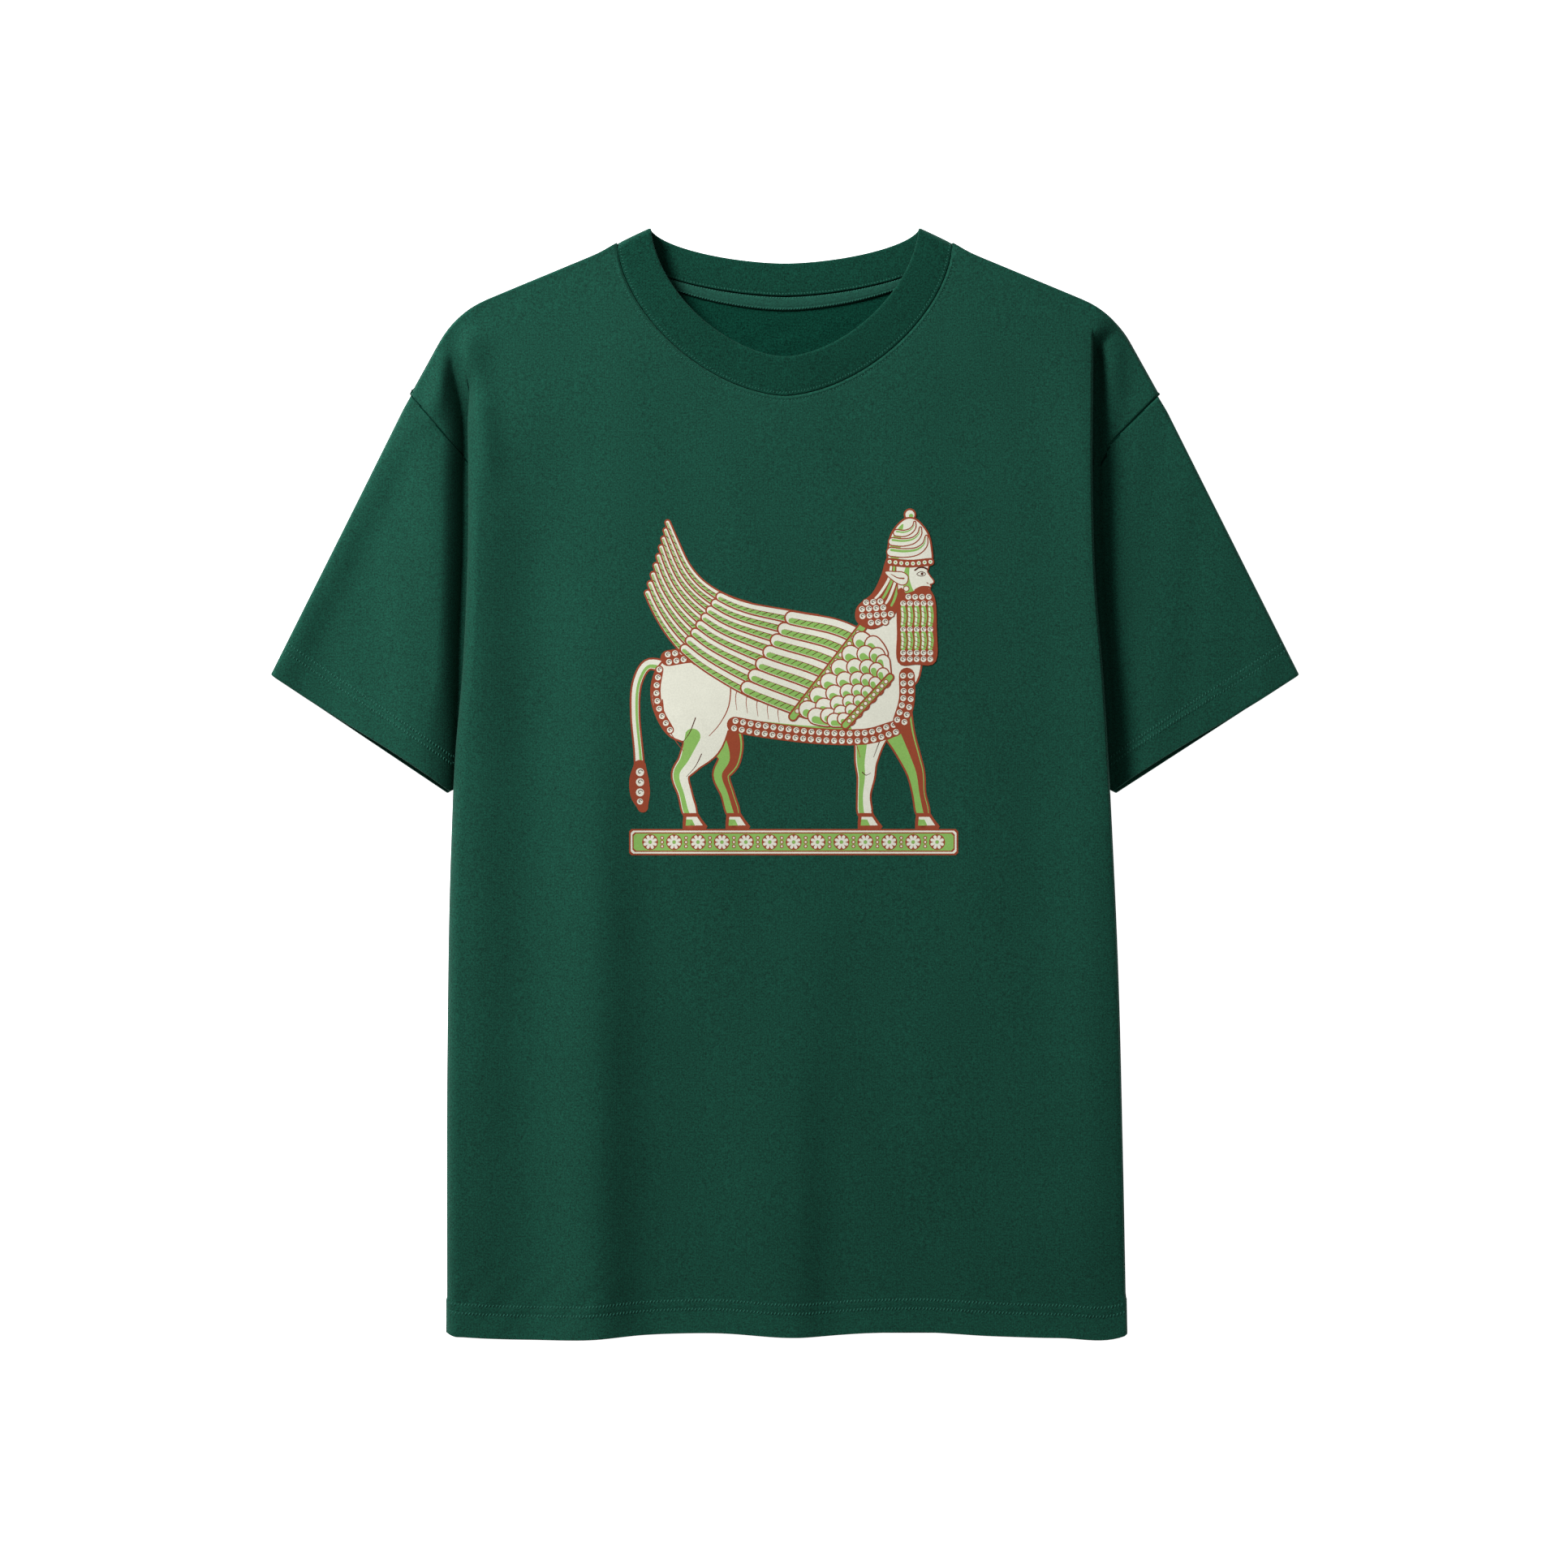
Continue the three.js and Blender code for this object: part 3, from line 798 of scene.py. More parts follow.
def front_side(side):
    """The cap, tuck and roll of one side, from the outside in. Above the fold they lie side by side."""
    armpit_x = half_width(side, -ARMPIT_DROP)
    round_width = LEFT_ROUND if side < 0 else RIGHT_ROUND
    low_turn = np.linspace(0, np.pi / 2, 6)
    high_turn = np.linspace(0, np.pi / 2, 12)[1:]
    roll_count = len(low_turn) + len(high_turn)
    cap_reach = TIP_X - ARMHOLE_GAP - armpit_x
    cap_in = -cap_reach * CAP_SHARES
    tuck_in = -cap_reach * np.linspace(CAP_SHARES[-1], 0, TUCK_COLUMNS + 1)[1:]
    open_in = np.concatenate([cap_in, tuck_in, np.linspace(0, round_width, roll_count + 1)[1:]])
    top_x = side * (armpit_x - open_in)
    armhole_y = armhole_level(side, clamp01(-open_in / cap_reach))
    y = column_rows(top_x, shoulder_y(top_x), armhole_y, hem_y)
    at_top = np.zeros((len(y), 1))
    at_top[: UPPER_ROWS + 1, 0] = 1 - ease(UPPER_SHARES / 0.25)
    half = mix(half_width(side, y), armpit_x, at_top)
    fold = crease_share(side, y)
    tuck_in = np.linspace(cap_in[-1], SIDE_FOOT, TUCK_COLUMNS + 1)[1:]
    roll_in = np.concatenate([SIDE_FOOT * (1 - np.sin(low_turn)), round_width * (1 - np.cos(high_turn))])
    folded_in = np.concatenate([cap_in, tuck_in, roll_in])
    x = side * (half - mix(open_in, folded_in, fold))
    folded_x = side * (half - folded_in)
    folded_z = sleeve_height(folded_x, y)
    cap, foot = len(CAP_SHARES), len(CAP_SHARES) + TUCK_COLUMNS
    folded_z[:, cap:foot] -= np.linspace(0, TUCK_DEPTH, TUCK_COLUMNS)
    low, high = slice(foot, foot + len(low_turn)), slice(foot + len(low_turn), None)
    on_ground = ease((-y[:, low] - CUFF_INNER_DROP + 10) / 24)
    drop = np.cos(low_turn) * (SIDE_UNDER + (SIDE_MIDDLE - SIDE_UNDER - CLOTH - 0.15) * on_ground)
    folded_z[:, low] = SIDE_MIDDLE - drop
    folded_z[:, high] = mix(SIDE_MIDDLE, body_top(folded_x[:, high], y[:, high]), np.sin(high_turn))
    y[-len(HEM_DISTANCES) :] = hem_y(x[-1]) + np.array(HEM_DISTANCES)[:, None]
    z = mix(open_top(x, y), folded_z, fold)
    from_seam = armhole_distance(x[:, :foot], y[:, :foot], side)
    z[:, :foot] -= SEAM_DENT * bell(from_seam, SEAM_DENT_WIDTH) - 0.3 * bell(from_seam - 2.4, 1.4)
    return np.stack([x, y, z], axis=2)


def make_front():
    left = front_side(-1)
    right = front_side(1)[:, ::-1]
    x, y = inner_columns(left[:, -1:, 0], right[:, :1, 0], FRONT_COLUMNS, NECK_HALF, FRONT_DROP, hem_y)
    z = mix(open_top(x, y), body_top(x, y), crease_share(x, y))
    inner = np.stack([x, y, z], axis=2)[:, 1:-1]
    grid = np.concatenate([left, inner, right], axis=1)
    mask = cut_below_armholes(grid.shape, len(CAP_SHARES) + TUCK_COLUMNS)
    panel = shell("front_panel", grid, CLOTH, jersey, mask)
    # Paints shade on the front's upright outline faces and on a thin line along the armhole seams.
    paint_shade_on_faces(panel, jersey_painted_shade, lambda face: in_shade(face) or at_armhole(face))
    return place_piece(panel, "front")


# The back lies on the ground. Its edges come up to meet the front.

BACK_COLUMNS = 100
BACK_INSET = 3.2
BACK_EDGE_TOP = -60.0
BACK_WAVES = [(0.30, 90, 38, 0.5), (0.24, 52, -24, 2.2), (0.14, -40, 15, 4.0)]


def back_hem(x):
    return np.full(np.shape(x), -BODY_LENGTH + HEM_WAVE, float)


def in_back_hem(y):
    return after(-y, BODY_LENGTH - HEM_DEPTH - 2, 1.6)


def back_top(x, y):
    lift = 0.9 * (1 - ease(edge_distance(x, y) / 4))
    inside_neck = bell(y + 95, 48) * bell(x, 95)
    wrinkle = (0.64 + waves(x, y, BACK_WAVES)) * inside_neck * ease(neck_distance(x, y, BACK_DROP) / 16)
    return CLOTH * (1 + in_back_hem(y)) + lift + wrinkle


def back_cap(side):
    """The cap columns of one side, from the outside in."""
    armpit_x = half_width(side, -ARMPIT_DROP)
    top_x = side * (armpit_x + (TIP_X - ARMHOLE_GAP - armpit_x) * CAP_SHARES)
    y = column_rows(top_x, shoulder_y(top_x), armhole_level(side, CAP_SHARES), back_hem)
    return np.stack([np.broadcast_to(top_x, y.shape), y], axis=2)


def make_back():
    edge_y = column_rows(np.zeros(1), np.array([BACK_EDGE_TOP]), np.array([-ARMPIT_DROP]), back_hem)
    start_x, end_x = (side * (half_width(side, edge_y) - BACK_INSET) for side in (-1, 1))
    inner = inner_columns(start_x, end_x, BACK_COLUMNS, NECK_HALF - 2.5, BACK_SEAM - 1.5, back_hem)
    plan = np.concatenate([back_cap(-1), np.stack(inner, axis=2), back_cap(1)[:, ::-1]], axis=1)
    x, y = plan[..., 0], plan[..., 1]
    grid = np.stack([x, y, back_top(x, y)], axis=2)
    thickness = CLOTH * (1 + in_back_hem(y))
    mask = cut_below_armholes(grid.shape, len(CAP_SHARES))
    panel = shell("back_panel", grid, thickness, jersey, mask)
    # The back's upward faces, the shirt's inside, get a darker cloth: partly the knit's wrong side, partly
    # painted shade inside the neck.
    paint_shade_on_faces(panel, jersey_inside_and_shade, lambda face: face.normal.z > STEEP)
    return place_piece(panel, "back")


# The sleeves: flattened tubes. share runs from the armhole seam to the hem, across from the outer fold in.

CUFF_PEEK = 3.2
CORNER_CUT = 6.3
CUFF_TUCK = 3.6


def sleeve_lines(side, share):
    """The outer and inner edges of a sleeve in plan."""
    share = np.asarray(share, float)[..., None]
    outer = mix(TIP, CUFF_OUTER, share)
    notch = 0.9 * (1 - ease(share * SLEEVE_LENGTH / 14))
    outer = outer + notch * np.array([-math.sin(SLEEVE_FALL), -math.cos(SLEEVE_FALL)])
    y = -mix(ARMPIT_DROP + SEAM_GAP, CUFF_INNER_DROP + CUFF_TUCK, share)
    inner = np.concatenate([half_width(side, y) - 3.0, y], axis=-1)
    return outer, inner


def sleeve_plan(side, share, across, peek, inset=0.0):
    """Places on a sleeve; peek says how far its hem is held back near the body."""
    share, across = np.broadcast_arrays(np.asarray(share, float), np.asarray(across, float))
    length = mix(SLEEVE_LENGTH, CUFF_INNER_DROP - ARMPIT_DROP, across)
    outer, inner = sleeve_lines(side, share)
    width = np.linalg.norm(inner - outer, axis=-1)
    cut = 1.5 * np.maximum(CORNER_CUT - width * (1 - across), 0)
    held_back = peek * after(across, 0.16, 0.6) * (1 - 0.4 * after(across, 0.85, 0.15)) + cut
    share = share - held_back * after(share, 0.8, 0.2) / length
    outer, inner = sleeve_lines(side, mix(SEAM_GAP / SLEEVE_LENGTH, 1, share))
    width = np.linalg.norm(inner - outer, axis=-1)
    from_outer = mix(inset, width - inset, across)
    plan = outer + unit(inner - outer) * from_outer[..., None]
    bend = armhole_bend(side, across) * (1 - ease(share * SLEEVE_LENGTH / 70))
    return side * plan[..., 0], plan[..., 1] - bend, share, length


def sleeve_point(side, share, across, depth=0.0, inset=0.0):
    """A point of the sleeve's upper face, or depth below it."""
    x, y, share, length = sleeve_plan(side, share, across, CUFF_PEEK, inset)
    z = sleeve_height(x, y)
    from_hem = (1 - share) * length
    z = z + stitch_dents(from_hem, CUFF_ROWS, 0.14, 0.6) + 0.15 * bell(from_hem - np.mean(CUFF_ROWS), 1.6)
    z = z - SEAM_DENT * bell(share * length, SEAM_DENT_WIDTH) - 0.3 * bell(from_hem, 0.8)
    return np.stack([x, y, np.maximum(z, 2.6) - depth], axis=-1)


FROM_SEAM = [0, 0.5, 1.1, 2, 3.5, 6, 9]
TO_CUFF = [
    27, 25.6, 24.8, 24, 23.2, 22.2, 21.2, 20.3, 19.4, 18.7, 18, 17, 15, 12.5, 9.5, 6.5, 4, 2.2, 1, 0.4, 0
]
FROM_OUTER = [0.5, 1.2, 2.2, 3.5, 5, 7, 9.5, 12.5]
FROM_INNER = [36, 33, 30.5, 28, 26, *np.arange(24, 0, -1.5), 0.6]
SLEEVE_FOOT = 1.5
LIP = 0.45


def sleeve_loops(side, share):
    """The outside and the lining of a sleeve at one place along it, each as a closed loop of points."""
    in_hem = (1 - share) * SLEEVE_LENGTH < CUFF_DEPTH
    thick = CLOTH * (1.9 if in_hem else 1.0)
    outer, inner = sleeve_lines(side, mix(SEAM_GAP / SLEEVE_LENGTH, 1, share))
    width = np.linalg.norm(inner - outer)
    middle = np.linspace(FROM_OUTER[-1], width - FROM_INNER[0], 26)[1:-1]
    across = np.concatenate([FROM_OUTER, middle, width - FROM_INNER]) / width

    def low(distances, z):
        x, y, _, _ = sleeve_plan(side, share, distances / width, 0.0)
        return np.column_stack([x, y, np.broadcast_to(z, x.shape)])

    turn = np.linspace(0, np.pi / 2, 5)
    foot, foot_z = SLEEVE_FOOT * (1 - np.sin(turn)), SLEEVE_FOOT * (1 - np.cos(turn))
    floor = low(np.linspace(width - SLEEVE_FOOT, SLEEVE_FOOT, 24)[1:-1], 0)
    outside = [low(foot, foot_z), sleeve_point(side, share, across), low(width - foot, foot_z)[::-1], floor]
    wall = thick * 1.3
    under = sleeve_point(side, share, across, thick, wall)
    under[:, 2] = np.maximum(under[:, 2], thick + 0.1)
    corner = wall * np.linspace(1.15, 1, 5)
    outer_low = low(corner, np.linspace(thick, thick + 0.3, 5))
    inner_low = low(width - corner, np.linspace(thick, thick + 0.05, 5))
    ceiling = low(np.linspace(width - wall * 1.2, wall * 1.2, 24)[1:-1], thick)
    return np.concatenate(outside), np.concatenate([outer_low, under, inner_low[::-1], ceiling])


def make_sleeve(side, name, node):
    between = np.linspace(13, SLEEVE_LENGTH - 31, 46)
    shares = np.concatenate([FROM_SEAM, between, SLEEVE_LENGTH - np.array(TO_CUFF)]) / SLEEVE_LENGTH
    outside, lining = (np.array(loops) for loops in zip(*(sleeve_loops(side, share) for share in shares)))
    down_sleeve = np.array([side * math.cos(SLEEVE_FALL), -math.sin(SLEEVE_FALL), 0])
    lip = (outside[-1] + lining[-1]) / 2 + down_sleeve * LIP
    loops = np.concatenate([outside, lip[None], lining[::-1]])
    if side > 0:
        loops = loops[:, ::-1]
    sleeve = ring_mesh(name, loops, jersey)

    # Paints shade on the sleeve's upright faces that look away from the body, which form its outline, and on
    # a thin line along the armhole seam.
    def looks_outward(face):
        return abs(face.normal.z) < STEEP < face.normal.x * side

    paint_shade_on_faces(sleeve, jersey_painted_shade, lambda face: looks_outward(face) or at_armhole(face))
    return place_piece(sleeve, node)


# The collar: a doubled rib band round the neck, folded over at each shoulder.

RIB_PITCH = 1.35
RIB_RELIEF = 0.025
FOLD_FRONT = 4.5
FOLD_BACK = 2.2
COLLAR_STEPS = 1900


def collar_edges(turn):
    """Seam and rim of the band's middle surface."""
    front = np.cos(turn)
    drop = np.where(front > 0, FRONT_DROP, BACK_SEAM) - SEAM_GAP
    lean_in, lean_up = COLLAR_WIDTH * math.cos(COLLAR_LEAN), COLLAR_WIDTH * math.sin(COLLAR_LEAN)
    seam_x, seam_y = neckline(turn, NECK_HALF - SEAM_GAP, drop)
    rim_drop = drop - COLLAR_WIDTH + lean_up + np.where(front > 0, 0, BACK_NARROWER)
    rim_x, rim_y = neckline(turn, NECK_HALF - lean_in, rim_drop, lean_up)
    rim_y = lean_up + 1.0 - np.hypot(lean_up - rim_y, 1.6)
    high = body_height(seam_x, seam_y)
    inset = edge_distance(seam_x, np.minimum(seam_y, -EDGE_ROUND))
    high = mix(SHOULDER_LOFT, high, ease(inset / SHOULDER_RISE)) - RIB / 2 - 0.1
    low = CLOTH + RIB / 2 + LAYER_GAP
    middle = (high + low) / 2
    away = -seam_y
    on_front, on_back = rounded(away / FOLD_FRONT), rounded(away / FOLD_BACK)
    z = np.where(front > 0, mix(middle, high, on_front), mix(middle, low, on_back))
    rim_lift = np.where(front > 0, 1.2 * ease(front), -CLOTH * on_back)
    return np.stack([seam_x, seam_y, z], -1), np.stack([rim_x, rim_y, z + rim_lift], -1)


def collar_turns():
    """Turns from front middle to back middle, close together where the band folds over."""
    bend = np.linspace(0, np.pi / 2, 200)
    front_away = FOLD_FRONT * (1 - np.cos(bend))
    back_away = FOLD_BACK * (1 - np.cos(bend))

    def turn_at(away, drop):
        return np.arccos(clamp01((away / (drop - SEAM_GAP)) ** (NECK_POWER / 2)))

    front_fold = turn_at(front_away, FRONT_DROP)[::-1]
    back_fold = np.pi - turn_at(back_away, BACK_SEAM)
    front = np.linspace(0, front_fold[0], 700)[:-1]
    back = np.linspace(back_fold[-1], np.pi, 500)[1:]
    return np.concatenate([front, front_fold, back_fold[1:], back])


def collar_frames():
    """Evenly spaced sections round the band: seam and rim points, width direction, outward normal, and the
    band's length."""
    half = collar_turns()
    turns = np.concatenate([half, 2 * np.pi - half[::-1][1:-1]])
    edges = [np.concatenate([points, points[:1]]) for points in collar_edges(turns)]
    lengths = lengths_along((edges[0] + edges[1]) / 2)
    at = np.linspace(0, lengths[-1], COLLAR_STEPS + 1)[:-1]
    seam, rim = (read_off(points, lengths, at) for points in edges)
    path = (seam + rim) / 2
    forward = np.roll(path, -1, axis=0) - np.roll(path, 1, axis=0)
    width = unit(rim - seam)
    return seam, rim, width, unit(np.cross(forward, width)), lengths[-1]


collar_seam, collar_rim, collar_width, collar_normal, collar_length = collar_frames()


def make_collar():
    reach = np.linalg.norm(collar_rim - collar_seam, axis=1)
    shares = np.array([0.25, 0.7, 1.3, 2.0, 2.8, 3.6, 4.6, *np.linspace(6, 22, 9), 23.2, 24.0]) / COLLAR_WIDTH
    around = np.arange(COLLAR_STEPS) / COLLAR_STEPS
    ribs = RIB_RELIEF * np.cos(2 * np.pi * around * round(collar_length / RIB_PITCH))
    faces = {1: [], -1: []}
    for sign, points in faces.items():
        for share in shares:
            from_seam = share * COLLAR_WIDTH
            high = 1 + 0.25 * math.sin(math.pi * share) - 0.4 * bell(from_seam, 0.6)
            high = high - 0.16 * bell(from_seam - COLLAR_ROW_IN, 0.8)
            high = high + ribs * ease((from_seam - 0.5) / 1.5) * ease((COLLAR_WIDTH - 1 - from_seam) / 1.5)
            width = collar_width * (share * reach)[:, None]
            points.append(collar_seam + width + collar_normal * (sign * high)[:, None])
    round_rim = [
        collar_rim - collar_width * (1.0 - math.cos(bow)) + collar_normal * math.sin(bow)
        for bow in np.linspace(np.pi / 2, -np.pi / 2, 7)[1:-1]
    ]
    band = ring_mesh("collar_rib", np.stack(faces[1] + round_rim + faces[-1][::-1], axis=1), rib)
    # Paints shade on the band's rim faces that face up in the plan, as a dark line along the rim.
    paint_shade_on_faces(band, jersey_painted_shade, lambda face: face.normal.y > 0.8)
    return place_piece(band, "collar")


# The tape over the collar seam, inside the back.


def tape_top(away):
    """Height of the tape's upper face at a distance from its upper edge."""
    crown = rounded(np.minimum(away, TAPE_WIDTH - away) / 2.4)
    dents = stitch_dents(away, (TAPE_WIDTH - 2.1,), 0.25, 0.5)
    return CLOTH + LAYER_GAP + TAPE * (0.35 + 0.95 * crown) + dents * crown


def tape_path(turn, away):
    return neckline(turn, NECK_HALF + 0.35 * away, BACK_SEAM + SEAM_GAP + away)


def make_tape():
    turns = np.linspace(-np.pi / 2 + 0.13, np.pi / 2 - 0.13, 220)
    near_edge = np.array([0, 0.1, 0.25, 0.6, 1.0, 1.5, 1.8, 2.1])
    middle = np.linspace(2.4, TAPE_WIDTH - 2.5, 6)
    rows = []
    for away in np.concatenate([near_edge[:-2], middle, TAPE_WIDTH - near_edge[::-1]]):
        x, y = tape_path(turns, away)
        rows.append(np.stack([x, y, np.full(x.shape, tape_top(away))], axis=1))
    grid = np.array(rows)
    thickness = (grid[..., 2] - CLOTH - LAYER_GAP) * 0.98
    return place_piece(shell("back_neck_tape", grid, thickness, tape), "neck_tape")


# Topstitching


def surface_row(x, y, pitch, slant, sink=0.06):
    """A row of stitches along a line on the front."""
    z = front_top(x, y)
    rise = 0.4
    slope_x = (front_top(x + rise, y) - front_top(x - rise, y)) / (2 * rise)
    slope_y = (front_top(x, y + rise) - front_top(x, y - rise)) / (2 * rise)
    normals = unit(np.stack([-slope_x, -slope_y, np.ones_like(z)], axis=1))
    return np.stack([x, y, z], axis=1) - normals * sink, normals, pitch, slant


def level_row(x, y, z, up, pitch, slant):
    """A row of stitches at one height, facing up or down."""
    return np.stack([x, y, np.full(x.shape, z)], axis=1), np.tile([0.0, 0.0, up], (len(x), 1)), pitch, slant


def along_hem(inset, count):
    return np.linspace(-half_width(-1, -BODY_LENGTH) + inset, half_width(1, -BODY_LENGTH) - inset, count)


def make_hem_stitches():
    x = along_hem(2, 1200)
    sew("hem_stitches", [surface_row(x, hem_y(x) + away, 2.35, 72) for away in HEM_ROWS], 2.3, 0.5)
    x = along_hem(5, 600)
    rows = [level_row(x, back_hem(x) + away, 0.25, -1.0, 2.1, 24) for away in HEM_ROWS]
    sew("back_hem_stitches", rows, 1.75, 0.24)


def make_cuff_stitches(side, name):
    across = np.linspace(0.012, 0.985, 700)
    length = mix(SLEEVE_LENGTH, CUFF_INNER_DROP - ARMPIT_DROP, across)
    step = 0.004
    rows = []
    for distance in CUFF_ROWS:
        share = 1 - distance / length
        path = sleeve_point(side, share, across)
        right = sleeve_point(side, share, across + step) - path
        down = sleeve_point(side, share + step, across) - path
        normals = unit(np.cross(right, down))
        normals = normals * np.sign(normals[:, 2:])
        rows.append((path - normals * 0.05, normals, 2.35, 70 * side))
    sew(name, rows, 2.1, 0.4)


def make_collar_stitches():
    # Outside, on the front just below the seam.
    turn = np.linspace(-np.pi / 2 + 0.04, np.pi / 2 - 0.04, 1500)
    x, y = neckline(turn, NECK_HALF + COLLAR_ROW_OUT, FRONT_DROP + COLLAR_ROW_OUT)
    on_front = y < shoulder_y(x) - 1.5
    rows = [surface_row(x[on_front], y[on_front], 2.4, 78)]
    # On the rib itself: outside along the front, inside along the back.
    for sign, inward, centre_y in ((1, COLLAR_ROW_IN, 60), (-1, BACK_ROW_IN, -300)):
        wanted = sign * collar_normal[:, 2] > 0.2
        face = collar_seam + collar_width * inward + collar_normal * sign * 0.86
        angle = np.arctan2(face[:, 0], -sign * (face[:, 1] - centre_y))
        order = np.argsort(np.where(wanted, angle, 99))[: wanted.sum()]
        rows.append((face[order], (collar_normal * sign)[order], 2.1, 72 * sign))
    sew("collar_stitches", rows, 1.45, 0.3)


def make_tape_stitches():
    turns = np.linspace(-np.pi / 2 + 0.16, np.pi / 2 - 0.16, 900)
    distances = (0.7, TAPE_WIDTH - 1.1)
    rows = [level_row(*tape_path(turns, away), tape_top(away) + 0.02, 1.0, 1.9, 64) for away in distances]
    sew("tape_stitches", rows, 1.3, 0.3)


# The print on the chest: a generic winged bull with a crowned head on a band of rosettes, in four flat inks.
# Its drawing has its own plan: u to the right and v up from its middle. Areas that are laid later lie over
# earlier ones, and each stage of the drawing is printed on top of the one before.

PRINT_MIDDLE = (7, -294)
PRINT_SCALE = 1.02
INK_FOOT = 0.02
INK_FILM = 0.13
OVERPRINT = 0.05
INK_GRID = 4.0
IVORY, GREEN, RED, BROWN = range(4)
INK_COLOURS = [(0.65, 0.65, 0.55), (0.21, 0.40, 0.089), (0.254, 0.045, 0.016), (0.074, 0.016, 0.007)]
EDGE = 1.2
HAIRLINE = 0.7

areas = []


def lay(ink, outline):
    areas.append((ink, np.array(outline, float)))


def curve(points, steps=6, closed=False):
    """A smooth curve through some points, each of which may carry a width as well."""
    p = np.array(points, float)
    if closed:
        before, after, beyond = np.roll(p, 1, 0), np.roll(p, -1, 0), np.roll(p, -2, 0)
    else:
        ends = np.concatenate([2 * p[:1] - p[1:2], p, 2 * p[-1:] - p[-2:-1]])
        before, p, after, beyond = ends[:-3], ends[1:-2], ends[2:-1], ends[3:]
    t = (np.arange(steps) / steps)[None, :, None]
    before, start, after, beyond = (a[:, None] for a in (before, p, after, beyond))
    bend = 2 * before - 5 * start + 4 * after - beyond
    twist = 3 * (start - after) + beyond - before
    out = (start + 0.5 * t * (after - before + t * (bend + t * twist))).reshape(-1, p.shape[1])
    return out if closed else np.concatenate([out, ends[-2:-1]])


def blob(points, steps=5):
    return curve(points, steps, closed=True)


def disc(centre, radius, sides=14):
    turn = 2 * np.pi * np.arange(sides) / sides
    return np.array(centre) + radius * np.stack([np.cos(turn), np.sin(turn)], axis=1)


def grown(outline, by):
    """An outline moved outwards."""
    p = np.array(outline, float)
    side = np.roll(p, -1, 0) - np.roll(p, 1, 0)
    area = np.sum(p[:, 0] * np.roll(p[:, 1], -1) - np.roll(p[:, 0], -1) * p[:, 1])
    return p + unit(np.stack([side[:, 1], -side[:, 0]], axis=1)) * by * np.sign(area)


def ribbon(keys, grow=0.0, steps=6, shift=0.0, narrow=1.0, cap=8):
    """Outline of a limb, feather or line; keys are (u, v, width) along its middle. shift moves it sideways by
    a share of its width, and narrow thins it."""
    middle = curve(keys, steps)
    centre, half = middle[:, :2], middle[:, 2:] / 2
    along = unit(np.gradient(centre, axis=0))
    across = np.stack([-along[:, 1], along[:, 0]], axis=1)
    centre = centre + across * half * 2 * shift
    half = half * narrow + grow
    turn = np.linspace(0, np.pi, cap + 1)[1:-1, None]
    far = centre[-1] + half[-1] * (np.cos(turn) * across[-1] + np.sin(turn) * along[-1])
    near = centre[0] - half[0] * (np.cos(turn) * across[0] + np.sin(turn) * along[0])
    return np.concatenate([centre + across * half, far, (centre - across * half)[::-1], near])


def draw_line(points, width=HAIRLINE, ink=BROWN, taper=False, steps=4):
    widths = width * np.linspace(1, 0.4 if taper else 1, len(points))
    lay(ink, ribbon(np.column_stack([points, widths]), steps=steps, cap=3))


def edged(ink, outline, edge=EDGE):
    lay(RED, grown(outline, edge))
    lay(ink, outline)


def limb(keys, inks=(IVORY, GREEN), shift=0.24, narrow=0.42, grow=(EDGE, 0, -0.1), steps=6):
    """A limb or a feather: a dark edge, an ink, and perhaps a second ink along one side."""
    lay(RED, ribbon(keys, grow[0], steps))
    lay(inks[0], ribbon(keys, grow[1], steps))
    for ink in inks[1:]:
        lay(ink, ribbon(keys, grow[2], steps, shift, narrow))


def bead(centre, radius, ink=IVORY):
    lay(RED, disc(centre, radius + 0.6, 12))
    lay(ink, disc(centre, radius, 12))


def curl(centre, radius):
    bead(centre, radius)
    turn = np.linspace(0.4, 5.4, 8)
    reach = radius * np.linspace(0.72, 0.14, 8)
    spiral = np.stack([reach * np.cos(turn), reach * np.sin(turn)], axis=1) + centre
    draw_line(spiral, 0.55, steps=1)


def even_places(points, pitch, aside=0.0):
    """Evenly spaced places along a curve, or beside it."""
    path = curve(points, 12)
    lengths = lengths_along(path)
    out = read_off(path, lengths, np.linspace(0, lengths[-1], int(round(lengths[-1] / pitch)) + 1))
    along = unit(np.gradient(out, axis=0))
    return out + aside * np.stack([-along[:, 1], along[:, 0]], axis=1)


def curl_rows(points, rows, pitch=5.0, radius=1.95):
    ends = curve(points, 3)
    lay(RED, ribbon(np.column_stack([ends, np.full(len(ends), rows * pitch + 0.6)]), steps=1))
    for row in range(rows):
        for place in even_places(points, pitch, (row - (rows - 1) / 2) * pitch):
            curl(place, radius)


def rosette(centre, radius, petals=8):
    lay(RED, disc(centre, radius + 0.6, 20))
    for k in range(petals):
        turn = 2 * np.pi * (k + 0.5) / petals
        out = np.array([math.cos(turn), math.sin(turn)])
        near, far = centre + out * radius * 0.42, centre + out * radius * 0.78
        lay(IVORY, ribbon([(*near, radius * 0.36), (*far, radius * 0.45)], steps=2))
    lay(GREEN, disc(centre, radius * 0.26, 10))


# Limbs of the figure, as places and widths from top to bottom.
HIND_NEAR = [
    (-67, -6, 46), (-63, -26, 42), (-62, -42, 27), (-70, -55, 14.5), (-76, -64, 10.5), (-73, -76, 8.2),
    (-70.5, -86, 8.8), (-69, -90, 7.4),
]
HIND_FAR = [
    (-54, -24, 26), (-46, -42, 22), (-44, -54, 14), (-49, -64, 10), (-45, -76, 7.6), (-42, -86, 8.2),
    (-40.6, -90, 7),
]
FORE_NEAR = [
    (50, -8, 40), (51, -26, 34), (49, -42, 19), (47, -55, 13.5), (47, -65, 10.5), (45.5, -77, 7.8),
    (46, -87, 8.8), (47, -90, 7.6),
]
FORE_FAR = [
    (62, -20, 30), (70, -38, 18), (76, -52, 13), (80, -63, 10.3), (82, -76, 7.5), (84, -86, 8.4),
    (85, -90, 7.4),
]
